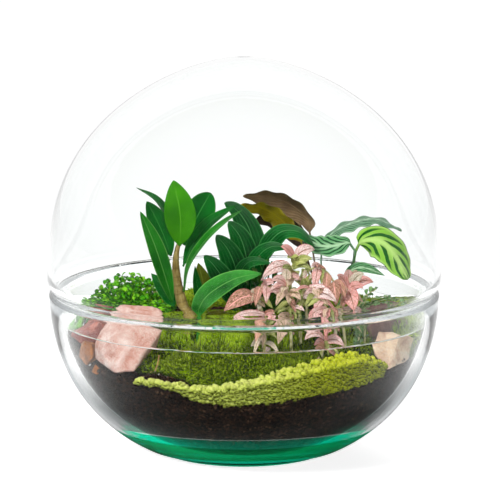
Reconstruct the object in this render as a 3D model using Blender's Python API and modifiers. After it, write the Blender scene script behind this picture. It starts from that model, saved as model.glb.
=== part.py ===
"""A planted glass globe: a thick-based bowl, a dome that rests in its rim, soil, stones, moss and plants.

Metres, +Z up. The origin is the centre of the flat underside of the bowl.
Small pieces are laid out in millimetres and turned into metres by mm().
"""

from math import cos, pi, sin

import bmesh
import bpy
import numpy as np
from mathutils import Vector

MM = 0.001
GAP = 0.0003                    # clearance between pieces that touch
TURN_STEPS = 40                 # facets round the turned glass

# Bowl: a squashed sphere cut off flat below and open above its middle
BOWL_RADIUS = 0.1485
BOWL_MIDDLE = 0.125
BOWL_DEPTH = 0.137
BOWL_ROUNDNESS = 2.2
RIM_TOP = 0.1225
RIM_WALL = 0.0036
FLOOR_WALL = 0.0068
WALL_GROWTH = 0.45              # under 1: the wall thickens soon below the rim, then stays even
RING_CROWDING = 1.35            # over 1 puts more of the bowl's rings near its base

# Dome: its widest ring stands just over the bowl's rim
DOME_TOP = 0.3005
DOME_WIDEST = 0.135
DOME_RADIUS = 0.1498
DOME_SHAPE = (2.4, 0.6)
DOME_WALL = 0.003
NECK_RADIUS = 0.141             # the neck hangs inside the bowl's rim
NECK_BOTTOM = 0.1028
NECK_TOP = 0.116
NECK_EDGE = 0.0012              # bevel of the neck's lower edge
LIP_OUTSIDE = (0.1492, 0.1295)  # radius, height where the dome turns in over the bowl's rim
LIP_INSIDE = (0.1425, 0.1255)   # where the dome's inside widens out over the neck

# Soil: level at the back, banked down to the front wall, a mound in the middle
SOIL_LEVEL = 0.090
SOIL_FALL = 0.032
SOIL_FALL_START = 0.030
SOIL_FALL_RUN = 0.100
MOUND_HEIGHT = 0.012
MOUND_RADIUS = 0.080
MOUND_Y = -0.020
MOSS_EDGE = 0.0026              # thickness of moss at its edges
HUMP_SPACING = 0.016            # between the humps of a moss bank
KNOB_SPACING = 0.007            # between the knobs of a moss tuft

BLADE_THICK = 0.0007
ROOT_DEPTH = 0.007              # how far a stem stands in its hole
HOLE_PLAY = 0.0006              # room round a stem in its hole
HOLE_HEIGHT = 0.060
STALK_WIDTH = 0.0022
BLUNT_TIP = 0.0012              # width of a leaf's tip
RIPPLES = 9                     # half waves along a waved leaf
STRAP_STALK = 0.003


# ---------------------------------------------------------------- scene and materials

def clear_scene():
    for obj in list(bpy.data.objects):
        bpy.data.objects.remove(obj, do_unlink=True)


def make_collection(name):
    collection = bpy.data.collections.new(name)
    bpy.context.scene.collection.children.link(collection)
    return collection


def make_material(name, colour, roughness, glassy=0.0):
    material = bpy.data.materials.new(name)
    material.use_nodes = True
    shader = material.node_tree.nodes["Principled BSDF"]
    shader.inputs["Base Color"].default_value = (*colour, 1.0)
    shader.inputs["Roughness"].default_value = roughness
    shader.inputs["Metallic"].default_value = 0.0
    shader.inputs["Transmission Weight"].default_value = glassy
    material.diffuse_color = (*colour, 1.0)
    return material


clear_scene()
TERRARIUM = make_collection("glass_plant_terrarium")
CUTTERS = make_collection("cutters")

CLEAR_GLASS = make_material("clear_glass", (0.95, 0.98, 0.97), 0.02, 1.0)
SOIL = make_material("potting_soil", (0.030, 0.016, 0.010), 0.95)
GREEN_MOSS = make_material("green_moss", (0.10, 0.20, 0.02), 0.95)
OLIVE_MOSS = make_material("olive_moss", (0.20, 0.22, 0.03), 0.95)
PALE_MOSS = make_material("reindeer_moss", (0.42, 0.50, 0.16), 0.95)
PINK_STONE = make_material("pink_stone", (0.72, 0.42, 0.36), 0.7)
RED_STONE = make_material("red_stone", (0.35, 0.12, 0.08), 0.7)
AMBER_STONE = make_material("amber_stone", (0.65, 0.25, 0.08), 0.4)
BROWN_STONE = make_material("brown_stone", (0.28, 0.17, 0.14), 0.75)
TAN_BARK = make_material("tan_stem", (0.36, 0.26, 0.08), 0.7)
BRIGHT_LEAF = make_material("bright_leaf", (0.07, 0.30, 0.01), 0.4)
DARK_LEAF = make_material("dark_leaf", (0.010, 0.11, 0.015), 0.35)
OLIVE_LEAF = make_material("olive_leaf", (0.20, 0.22, 0.04), 0.5)
ZEBRA_LEAF = make_material("zebra_leaf", (0.28, 0.45, 0.15), 0.4)
PURPLE_LEAF = make_material("purple_underleaf", (0.11, 0.06, 0.03), 0.5)
PINK_LEAF = make_material("pink_leaf", (0.75, 0.35, 0.30), 0.5)
SMALL_LEAF = make_material("small_green_leaf", (0.10, 0.35, 0.01), 0.5)


# ---------------------------------------------------------------- shared helpers

def mm(points):
    """Points given in millimetres, as an array in metres."""
    return np.array(points, dtype=float) * MM


def unit(vectors):
    vectors = np.asarray(vectors, dtype=float)
    return vectors / np.linalg.norm(vectors, axis=-1, keepdims=True)


def link_mesh(name, mesh, material, collection=TERRARIUM):
    obj = bpy.data.objects.new(name, mesh)
    collection.objects.link(obj)
    mesh.materials.clear()
    mesh.materials.append(material)
    return obj


def solid(name, points, faces, material, collection=TERRARIUM):
    """An object from points and faces, with its faces turned to point outwards."""
    mesh = bpy.data.meshes.new(name)
    mesh.from_pydata([tuple(point) for point in points], [], faces)
    shape = bmesh.new()
    shape.from_mesh(mesh)
    bmesh.ops.recalc_face_normals(shape, faces=shape.faces)
    shape.to_mesh(mesh)
    shape.free()
    return link_mesh(name, mesh, material, collection)


def smooth_path(points, fractions):
    """Points on a smooth curve through the given ones, at fractions of its length, and its directions."""
    points = np.asarray(points, dtype=float)
    ends = np.vstack([2 * points[0] - points[1], points, 2 * points[-1] - points[-2]])
    fine = []
    for before, start, end, after in zip(ends, ends[1:], ends[2:], ends[3:]):
        t = np.linspace(0.0, 1.0, 13)[:-1, None]
        fine.append(0.5 * (2 * start + (end - before) * t
                           + (2 * before - 5 * start + 4 * end - after) * t ** 2
                           + (3 * start - before - 3 * end + after) * t ** 3))
    fine = np.vstack(fine + [points[-1:]])
    travelled = np.concatenate([[0.0], np.cumsum(np.linalg.norm(np.diff(fine, axis=0), axis=1))])
    wanted = np.asarray(fractions) * travelled[-1]
    directions = unit(np.gradient(fine, travelled, axis=0))
    places = np.column_stack([np.interp(wanted, travelled, fine[:, axis]) for axis in range(3)])
    headings = np.column_stack([np.interp(wanted, travelled, directions[:, axis]) for axis in range(3)])
    return places, unit(headings)


def apply_modifiers(obj):
    """Replace an object's mesh with what its modifiers make of it."""
    evaluated = obj.evaluated_get(bpy.context.evaluated_depsgraph_get())
    mesh = bpy.data.meshes.new_from_object(evaluated)
    obj.modifiers.clear()
    obj.data = mesh
    return obj


def tube(name, points, radii, material, sides_step=1, collection=TERRARIUM):
    """A tapering stem: a curve with a bevel and filled caps, made a mesh with its caps welded on."""
    curve = bpy.data.curves.new(name, "CURVE")
    curve.dimensions = "3D"
    curve.bevel_depth = 1.0
    curve.bevel_resolution = sides_step
    curve.use_fill_caps = True
    spline = curve.splines.new("POLY")
    spline.points.add(len(points) - 1)
    for knot, point, radius in zip(spline.points, points, radii):
        knot.co = (*point, 1.0)
        knot.radius = radius
    guide = bpy.data.objects.new(name + "_curve", curve)
    bpy.context.scene.collection.objects.link(guide)
    evaluated = guide.evaluated_get(bpy.context.evaluated_depsgraph_get())
    mesh = bpy.data.meshes.new_from_object(evaluated)
    bpy.data.objects.remove(guide)
    shape = bmesh.new()
    shape.from_mesh(mesh)
    bmesh.ops.remove_doubles(shape, verts=shape.verts, dist=0.00001)
    bmesh.ops.recalc_face_normals(shape, faces=shape.faces)
    shape.to_mesh(mesh)
    shape.free()
    return link_mesh(name, mesh, material, collection)


def fuse(trunk, pieces, solver="MANIFOLD"):
    """Join loose pieces to a trunk in one Boolean union, then drop the pieces."""
    joined = make_collection(trunk.name + "_pieces")
    for piece in pieces:
        for home in list(piece.users_collection):
            home.objects.unlink(piece)
        joined.objects.link(piece)
    union = trunk.modifiers.new("union", "BOOLEAN")
    union.operation = "UNION"
    union.solver = solver
    union.operand_type = "COLLECTION"
    union.collection = joined
    bpy.context.view_layer.update()
    apply_modifiers(trunk)
    for piece in list(joined.objects):
        bpy.data.objects.remove(piece)
    bpy.data.collections.remove(joined)
    return trunk


def cut(obj, cutters):
    """Take each cutter out of an object."""
    for cutter in cutters:
        difference = obj.modifiers.new("cut", "BOOLEAN")
        difference.operation = "DIFFERENCE"
        difference.object = cutter
    bpy.context.view_layer.update()
    return apply_modifiers(obj)


# ---------------------------------------------------------------- glass

def bowl_outer(z):
    """The bowl's outer radius at a height."""
    rise = np.abs(np.asarray(z) - BOWL_MIDDLE) / BOWL_DEPTH
    return BOWL_RADIUS * (1 - rise ** BOWL_ROUNDNESS) ** (1 / BOWL_ROUNDNESS)


def bowl_wall(z):
    """The wall's thickness, square to the outside, at a height."""
    return RIM_WALL + (FLOOR_WALL - RIM_WALL) * (1 - np.asarray(z) / RIM_TOP) ** WALL_GROWTH


def bowl_profiles(count=9):
    """Radius and height along the outside and the inside, from the base up to below the rim."""
    bead = RIM_WALL / 2
    z = (RIM_TOP - bead) * np.linspace(0.0, 1.0, count) ** RING_CROWDING
    radius = bowl_outer(z)
    fine = np.linspace(0, RIM_TOP, 400)
    slope = np.interp(z, fine, np.gradient(bowl_outer(fine), fine))
    inward = unit(np.column_stack([-np.ones(count), slope]))
    inward[0] = (0.0, 1.0)
    inside = np.column_stack([radius, z]) + inward * bowl_wall(z)[:, None]
    return np.column_stack([radius, z]), inside


BOWL_OUTSIDE, BOWL_INSIDE = bowl_profiles()


def inner_radius(z):
    """The bowl's inner radius at a height, on its facets."""
    return np.interp(z, BOWL_INSIDE[:, 1], BOWL_INSIDE[:, 0])


def turned(name, profile, material):
    """A closed shell: an open profile from axis to axis, turned by a Screw modifier."""
    mesh = bpy.data.meshes.new(name)
    edges = [(index, index + 1) for index in range(len(profile) - 1)]
    mesh.from_pydata([(radius, 0.0, height) for radius, height in profile], edges, [])
    obj = link_mesh(name, mesh, material)
    screw = obj.modifiers.new("turn", "SCREW")
    screw.angle = 2 * pi
    screw.steps = TURN_STEPS
    screw.render_steps = TURN_STEPS
    screw.use_merge_vertices = True
    screw.merge_threshold = 0.00002
    return obj


def rim_bead(clearance, angles):
    """Points round the bead on the bowl's rim, off it by a clearance, at angles from outwards in degrees."""
    centre = (BOWL_OUTSIDE[-1] + BOWL_INSIDE[-1]) / 2
    angles = np.radians(angles)
    return centre + (RIM_WALL / 2 + clearance) * np.column_stack([np.cos(angles), np.sin(angles)])


def make_bowl():
    floor = [(0.0, FLOOR_WALL)]
    base = [(0.0, 0.0)]
    rim = rim_bead(0.0, [140, 90, 40])
    profile = np.vstack([floor, BOWL_INSIDE, rim, BOWL_OUTSIDE[::-1], base])
    return turned("glass_bowl", profile, CLEAR_GLASS)


def dome_curve(radius, rise, count):
    """The dome's rounded part from its top down to its widest ring."""
    power, root = DOME_SHAPE
    lift = np.sin(np.linspace(pi / 2, 0.0, count))
    curve = np.column_stack([radius * np.maximum(1 - lift ** power, 0.0) ** root, DOME_WIDEST + rise * lift])
    curve[0, 0] = 0.0
    return curve


def make_dome():
    rise = DOME_TOP - DOME_WIDEST
    neck_wall = NECK_RADIUS - DOME_WALL
    outside = dome_curve(DOME_RADIUS, rise, 10)
    seat = rim_bead(2 * GAP, [100, 126, 152])
    neck = [(NECK_RADIUS, NECK_TOP), (NECK_RADIUS, NECK_BOTTOM + NECK_EDGE),
            (NECK_RADIUS - NECK_EDGE, NECK_BOTTOM), (neck_wall + NECK_EDGE, NECK_BOTTOM),
            (neck_wall, NECK_BOTTOM + NECK_EDGE), (neck_wall, NECK_TOP + 2 * NECK_EDGE)]
    inside = dome_curve(DOME_RADIUS - DOME_WALL, rise - DOME_WALL, 8)
    profile = np.vstack([outside, [LIP_OUTSIDE], seat, neck, [LIP_INSIDE], inside[::-1]])
    return turned("glass_dome", profile, CLEAR_GLASS)


# ---------------------------------------------------------------- soil and moss

def ground(x, y):
    """The soil's surface: level, falling to the front, with a mound round the plants' feet."""
    fall = np.clip((-np.asarray(y) - SOIL_FALL_START) / SOIL_FALL_RUN, 0.0, 1.0)
    mound = np.exp(-(np.asarray(x) ** 2 + (np.asarray(y) - MOUND_Y) ** 2) / MOUND_RADIUS ** 2)
    return SOIL_LEVEL - SOIL_FALL * fall + MOUND_HEIGHT * mound


def wall_ring(angles, height):
    """Points along the inner wall at the height that ground plus height reaches there."""
    radius = np.full_like(angles, inner_radius(SOIL_LEVEL))
    for _ in range(6):
        z = ground(radius * np.cos(angles), radius * np.sin(angles)) + height
        radius = inner_radius(z) - 2 * GAP
    return radius, z


def ring_faces(rings, around):
    """Faces between rings of points, with a fan at the first and at the last ring's own centre point."""
    faces = []
    for ring in range(rings - 1):
        for index in range(around):
            after = (index + 1) % around
            low, high = ring * around, (ring + 1) * around
            faces.append((low + index, low + after, high + after))
            faces.append((low + index, high + after, high + index))
    bottom, top = rings * around, rings * around + 1
    for index in range(around):
        after = (index + 1) % around
        faces.append((bottom, after, index))
        faces.append((top, (rings - 1) * around + index, (rings - 1) * around + after))
    return faces


def make_soil():
    """The soil fills the bowl: rings up the inner wall, then inwards over the banked surface."""
    angles = 2 * pi * np.arange(TURN_STEPS) / TURN_STEPS
    edge, edge_height = wall_ring(angles, 0.0)
    floor = FLOOR_WALL + GAP
    bevel = 0.002
    rings = []
    for share in (0.0, 0.05, 0.18, 0.40, 0.70):
        z = floor + bevel / 2 + share * (edge_height - floor)
        rings.append((inner_radius(z - bevel / 2) - 2 * GAP, z))
    rings[0] = (rings[0][0] - bevel, np.full_like(angles, floor))
    rings.append((edge, edge_height))
    for share in (0.86, 0.66, 0.44, 0.22):
        radius = edge * share
        rings.append((radius, ground(radius * np.cos(angles), radius * np.sin(angles))))
    points = [np.column_stack([radius * np.cos(angles), radius * np.sin(angles), z]) for radius, z in rings]
    centres = [(0.0, 0.0, floor), (0.0, 0.0, ground(0.0, 0.0))]
    return solid("soil", np.vstack(points + [centres]), ring_faces(len(rings), TURN_STEPS), SOIL)


def lumps(x, y, size, seed):
    """Rounded humps from 0 to 1, the given size apart and askew to the axes."""
    a = np.abs(np.sin(pi * (x + 0.37 * y) / size + seed))
    b = np.abs(np.sin(pi * (y - 0.41 * x) / size + 2.1 * seed))
    return np.sqrt(a * b)


def sheet_body(name, top, bottom, material):
    """A closed body between two grids of points with the same rows and columns."""
    rows, columns = top.shape[:2]
    points = np.vstack([top.reshape(-1, 3), bottom.reshape(-1, 3)])
    below = rows * columns
    faces = []
    for row in range(rows - 1):
        for column in range(columns - 1):
            a = row * columns + column
            b, c, d = a + 1, a + columns + 1, a + columns
            faces += [(a, b, c), (a, c, d)]
            faces += [(below + a, below + c, below + b), (below + a, below + d, below + c)]
    border = [column for column in range(columns)]
    border += [row * columns + columns - 1 for row in range(1, rows)]
    border += [(rows - 1) * columns + column for column in range(columns - 2, -1, -1)]
    border += [row * columns for row in range(rows - 2, 0, -1)]
    for start, end in zip(border, border[1:] + border[:1]):
        faces.append((start, below + start, below + end, end))
    return solid(name, points, faces, material)


def moss_bank(name, azimuths, reach, height, hump, grid, material, seed):
    """Moss on the soil between two azimuths and two radii; an outer radius of None reaches to the glass."""
    around, across = grid
    inner, outer = reach
    turn, share = np.meshgrid(np.radians(np.linspace(*azimuths, around)), np.linspace(0.0, 1.0, across),
                              indexing="ij")
    ends = np.minimum(np.linspace(0, 1, around), np.linspace(1, 0, around))[:, None]
    # The moss swells to its full height over a quarter of its width and an eighth of its length
    pillow = np.sqrt(np.clip(share * 4, 0.0, 1.0) * np.clip(ends * 8, 0.0, 1.0))
    if outer is not None:
        pillow = pillow * np.sqrt(np.clip((1 - share) * 4, 0.0, 1.0))
    sheets = []
    for raised in (True, False):
        rim = outer if outer is not None else wall_ring(turn, height if raised else 0.0)[0]
        radius = inner + share * (rim - inner)
        x, y = radius * np.cos(turn), radius * np.sin(turn)
        z = ground(x, y) + 2 * GAP
        if raised:
            humps = hump * lumps(x, y, HUMP_SPACING, seed)
            z = z + MOSS_EDGE + (height - MOSS_EDGE - hump + humps) * pillow
        if outer is None:
            against = inner_radius(z[:, -1]) - 2 * GAP
            x[:, -1], y[:, -1] = against * np.cos(turn[:, -1]), against * np.sin(turn[:, -1])
        sheets.append(np.dstack([x, y, z]))
    return sheet_body(name, *sheets, material)


def moss_tuft(name, centre, radius, height, material, seed):
    """A small round clump with a knobbly top, standing on the soil."""
    spokes = 14
    angles = 2 * pi * np.arange(spokes) / spokes
    # Each ring's share of the radius and of the height; the first one lies on the soil
    outline = ((0.55, None), (0.92, 0.0), (1.0, 0.35), (0.80, 0.80), (0.40, 0.98))
    layers = []
    for share, lift in outline:
        wobble = 1 + 0.10 * np.sin(3 * angles + seed + 5 * share)
        x = centre[0] + radius * share * wobble * np.cos(angles)
        y = centre[1] + radius * share * wobble * np.sin(angles)
        z = ground(x, y) + 2 * GAP
        if lift is not None:
            z = z + MM + height * lift * (0.85 + 0.3 * lumps(x, y, KNOB_SPACING, seed))
        layers.append(np.column_stack([x, y, z]))
    middle = ground(*centre)
    centres = [(*centre, middle + 2 * GAP), (*centre, middle + height)]
    return solid(name, np.vstack(layers + [centres]), ring_faces(len(layers), spokes), material)


# ---------------------------------------------------------------- stones

# Corners of each stone in mm; the stone is their convex hull.
STONES = {
    "stone_pink_left": (PINK_STONE, [
        (-109, -79, 98), (-108, -78, 86), (-99, -84, 80), (-92, -97, 79), (-92, -94, 108), (-79, -99, 80),
        (-75, -95, 91), (-66, -88, 101), (-59, -78, 107), (-61, -64, 116), (-68, -56, 119), (-91, -57, 119),
        (-104, -68, 107), (-100, -56, 80), (-70, -58, 82)]),
    "stone_red_left": (RED_STONE, [
        (-131, -36, 92), (-130, -26, 100), (-122, -44, 103), (-108, -46, 107), (-101, -42, 104),
        (-100, -24, 102), (-112, -20, 105), (-126, -20, 88), (-104, -20, 86), (-122, -46, 88),
        (-104, -46, 86)]),
    "stone_amber_left": (AMBER_STONE, [
        (-121, -60, 84), (-120, -56, 93), (-117, -62, 96), (-111, -68, 94), (-110, -72, 85), (-114, -70, 79),
        (-107, -56, 80), (-108, -60, 92)]),
    "stone_amber_small": (AMBER_STONE, [
        (-110, -76, 77), (-108, -74, 82), (-104, -79, 79), (-105, -81, 75), (-107, -77, 74),
        (-105, -74, 75)]),
    "stone_tan_right": (PINK_STONE, [
        (92, -76, 98), (97, -66, 106), (108, -62, 105), (114, -66, 101), (127, -53, 95), (121, -60, 81),
        (112, -72, 75), (104, -79, 76), (94, -78, 88), (96, -52, 80), (120, -44, 82), (102, -50, 98)]),
    "stone_brown_right": (BROWN_STONE, [
        (88, -30, 104), (94, -34, 94), (103, -28, 114), (110, -24, 112), (122, -24, 105), (127, -30, 96),
        (126, -10, 92), (118, -6, 104), (98, -8, 108), (92, -10, 90), (112, -36, 92)]),
}


def hull(name, points, material, collection=TERRARIUM):
    """A faceted stone: the convex hull of its corners."""
    mesh = bpy.data.meshes.new(name)
    shape = bmesh.new()
    for point in points:
        shape.verts.new(point)
    result = bmesh.ops.convex_hull(shape, input=shape.verts)
    inside = [item for item in result["geom_interior"] if isinstance(item, bmesh.types.BMVert)]
    bmesh.ops.delete(shape, geom=inside, context="VERTS")
    bmesh.ops.recalc_face_normals(shape, faces=shape.faces)
    shape.to_mesh(mesh)
    shape.free()
    return link_mesh(name, mesh, material, collection)


def make_stones():
    """Every stone, and for each a slightly larger cutter that makes the pocket it lies in."""
    pockets = []
    for name, (material, corners) in STONES.items():
        corners = mm(corners)
        hull(name, corners, material)
        middle = corners.mean(axis=0)
        grown = corners + unit(corners - middle) * 3 * GAP
        pocket = hull(name + "_pocket", grown, material, CUTTERS)
        pocket.hide_render = True
        pocket.display_type = "WIRE"
        pockets.append(pocket)
    return pockets


# ---------------------------------------------------------------- leaves

def leaf_outline(along, belly, point):
    """A leaf's width from 0 to 1 along its blade: belly places its broadest part, point draws it out."""
    return np.sin(pi * np.clip(along, 0, 1) ** belly) ** point


def blade_mesh(spine, width, face, fold=0.25, belly=0.85, point=0.85, stalk=0.0, stalk_width=STALK_WIDTH,
               stations=8, across=2, wave=0.0):
    """The two faces of a leaf as grids of points: a thin band along a smooth spine.

    face is the direction that the upper side looks at, at the base and at the tip. fold lifts the blade's
    edges, or drops them where it is negative. stalk is the share of the spine that is a bare stalk.
    """
    stalk_marks = np.linspace(0.0, stalk, 4)[:-1] if stalk > 0 else np.zeros(0)
    blade_marks = np.linspace(stalk, 1.0, stations)
    marks = np.concatenate([stalk_marks, blade_marks])
    places, headings = smooth_path(spine, marks)
    along = np.clip((marks - stalk) / (1 - stalk), 0.0, 1.0)
    widths = np.maximum(width * leaf_outline(along, belly, point), BLUNT_TIP)
    widths = np.where(along < 0.12, np.maximum(widths, stalk_width), widths)
    # The stalk's thickness runs out over the first seventh of the blade
    thick = BLADE_THICK + (stalk_width * 0.8 - BLADE_THICK) * np.clip(1 - along * 7, 0.0, 1.0)
    face_from, face_to = unit(np.asarray(face, dtype=float))
    facing = face_from + (face_to - face_from) * marks[:, None]
    side = unit(np.cross(headings, facing))
    normal = np.cross(side, headings)
    share = np.linspace(-1.0, 1.0, across + 1)
    half = widths[:, None, None] / 2
    lift = fold * np.abs(share) ** 1.3 * half[:, :, 0]
    ripple = wave * np.sin(RIPPLES * pi * along)[:, None] * share ** 2
    middle = (places[:, None, :] + side[:, None, :] * share[None, :, None] * half * (1 - 0.4 * fold ** 2)
              + normal[:, None, :] * (lift + ripple)[:, :, None])
    offset = normal[:, None, :] * thick[:, None, None] / 2
    return middle + offset, middle - offset


def leaf(name, spine, width, material, face, **shape):
    """A leaf as its own solid."""
    top, bottom = blade_mesh(mm(spine), width * MM, face, **shape)
    return sheet_body(name, top, bottom, material)


def rooted(foot, *points):
    """A stem's or leaf stalk's line in mm, starting in its hole at foot (x, y) and leaving it upright."""
    x, y = foot
    soil = float(ground(x * MM, y * MM)) / MM
    return [(x, y, soil - ROOT_DEPTH / MM), (x, y, soil + 8.0), *points]


DRACAENA_STEM = rooted((-41, -40), (-46, -40, 118), (-50, -40, 136), (-51, -40, 150), (-50, -40, 160),
                       (-48, -40, 166))
DRACAENA_RADII = [6.4, 5.6, 4.4, 3.9, 3.3, 2.4, 1.5]

DRACAENA_LEAVES = {
    "dracaena_leaf_upright": dict(
        spine=[(-48, -44, 164), (-47, -49, 180), (-48, -52, 195), (-52, -51, 214)], width=24,
        material=BRIGHT_LEAF, face=((0.1, -1, 0.1), (-0.1, -1, 0.2)), fold=0.22, belly=1.0, point=0.75),
    "dracaena_leaf_back": dict(
        spine=[(-45, -36, 163), (-39, -32, 176), (-32, -27, 189), (-25, -20, 200)], width=23,
        material=DARK_LEAF, face=((0.2, -1, 0.1), (0.2, -1, 0.3)), fold=0.2, belly=1.2, point=0.6),
    "dracaena_leaf_edge": dict(
        spine=[(-52.5, -37.5, 168), (-58, -33, 184), (-66, -31, 196), (-80, -34, 206)], width=13,
        material=DARK_LEAF, face=((0.9, -0.3, 0.3), (0.3, -0.3, 1)), fold=0.3, belly=0.8, point=0.9),
    "dracaena_leaf_left": dict(
        spine=[(-54.5, -42, 156), (-60, -44, 172), (-66, -46, 186), (-72, -49, 198)], width=17,
        material=DARK_LEAF, face=((0.2, -1, 0.1), (0.2, -1, 0.2)), fold=0.25, belly=1.0, point=0.7),
    "dracaena_leaf_low_left": dict(
        spine=[(-53.5, -46.5, 122), (-60, -54, 147), (-67, -60, 170), (-76, -66, 193)], width=14,
        material=DARK_LEAF, face=((0.5, -0.9, 0), (0.4, -0.9, 0)), fold=0.25, belly=0.95, point=0.7),
    "dracaena_leaf_right": dict(
        spine=[(-45, -46.5, 130), (-40, -54, 152), (-28, -60, 171), (-15, -63, 184), (-1, -63, 194)],
        width=12, material=DARK_LEAF, face=((-0.7, -0.35, 0.4), (-0.6, -0.35, 0.7)), fold=0.25,
        belly=0.9, point=0.7, stations=9),
    "dracaena_leaf_right_dark": dict(
        spine=[(-45.4, -42, 148), (-38, -42, 165), (-25, -42, 181), (-6, -41, 194)], width=13,
        material=DARK_LEAF, face=((-0.6, -0.6, 0.4), (-0.5, -0.6, 0.7)), fold=0.25, belly=0.9, point=0.8),
    "dracaena_leaf_sucker": dict(
        spine=rooted((-31, -31), (-34, -31, 124), (-36, -30, 136), (-37, -29, 146)), width=8,
        material=DARK_LEAF, face=((0.3, -1, 0), (0.3, -1, 0)), stalk=0.32, fold=0.25, stations=6),
    "dracaena_leaf_low_back": dict(
        spine=[(-52.6, -36.4, 115), (-57, -33, 124), (-63, -28, 132), (-70, -22, 139)], width=12,
        material=DARK_LEAF, face=((0.2, -1, 0.4), (0.2, -1, 0.4)), fold=0.2, stations=6),
}

STRAP_LEAVES = {
    "strap_leaf_tall": dict(
        spine=rooted((5, -10), (8, -9, 128), (8, -9, 150), (4, -10, 170), (-5, -13, 185), (-15, -18, 192)),
        width=24, material=DARK_LEAF, face=((0.2, -1, 0), (0.5, -0.7, 0.7)), stalk=0.28, fold=-0.15,
        belly=1.0, point=0.6, stations=9),
    "strap_leaf_tall_mid": dict(
        spine=rooted((1, -15), (3, -16, 128), (2, -18, 148), (-3, -20, 166), (-12, -24, 179)),
        width=22, material=DARK_LEAF, face=((0.2, -1, 0), (0.4, -0.8, 0.5)), stalk=0.3, fold=-0.15, belly=1.0,
        point=0.6),
    "strap_leaf_left_mid": dict(
        spine=rooted((-3, -20), (-2, -23, 122), (-6, -27, 142), (-12, -30, 158), (-21, -32, 170)),
        width=20, material=DARK_LEAF, face=((0.2, -1, 0), (0.4, -0.9, 0.4)), stalk=0.32, fold=-0.15,
        belly=1.0, point=0.6),
    "strap_leaf_left_low": dict(
        spine=rooted((-7, -24), (-8, -30, 118), (-14, -35, 134), (-22, -38, 147), (-30, -40, 156)),
        width=18, material=DARK_LEAF, face=((0.2, -1, 0), (0.4, -0.9, 0.4)), stalk=0.3, fold=-0.15, belly=1.0,
        point=0.65),
    "strap_leaf_right_high": dict(
        spine=rooted((8, -16), (11, -15, 130), (16, -16, 156), (28, -18, 170), (42, -22, 170),
                     (53, -26, 160)),
        width=16, material=DARK_LEAF, face=((-0.3, -1, 0.1), (0.3, -0.5, 0.9)), stalk=0.42, fold=-0.15,
        belly=0.9, point=0.7, stations=9),
    "strap_leaf_right_low": dict(
        spine=rooted((4, -21), (6, -24, 128), (9, -28, 150), (20, -33, 161), (34, -38, 161)),
        width=15, material=DARK_LEAF, face=((-0.3, -1, 0.1), (0.2, -0.6, 0.9)), stalk=0.42, fold=-0.15,
        belly=0.9, point=0.7),
    "strap_leaf_front": dict(
        spine=rooted((-1, -26), (-3, -33, 126), (-2, -40, 144), (6, -47, 153), (20, -51, 152)),
        width=12, material=DARK_LEAF, face=((-0.3, -1, 0), (0.2, -0.6, 0.9)), stalk=0.45, fold=-0.15,
        belly=0.9, point=0.75),
    "strap_leaf_lit": dict(
        spine=rooted((-34, -53), (-33, -59, 119), (-25, -65, 132), (-6, -70, 144), (13, -72, 148)),
        width=22, material=BRIGHT_LEAF, face=((-0.5, -0.8, 0.2), (-0.1, -0.8, 0.6)), stalk=0.2, fold=0.15,
        belly=0.85, point=0.7, stations=9, across=4),
    "strap_leaf_young": dict(
        spine=rooted((-27, -9), (-30, -7, 124), (-35, -4, 144)), width=16,
        material=OLIVE_LEAF, face=((0, -1, 0.1), (0, -1, 0.2)), stalk=0.25, fold=0.3, stations=6),
}

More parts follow.
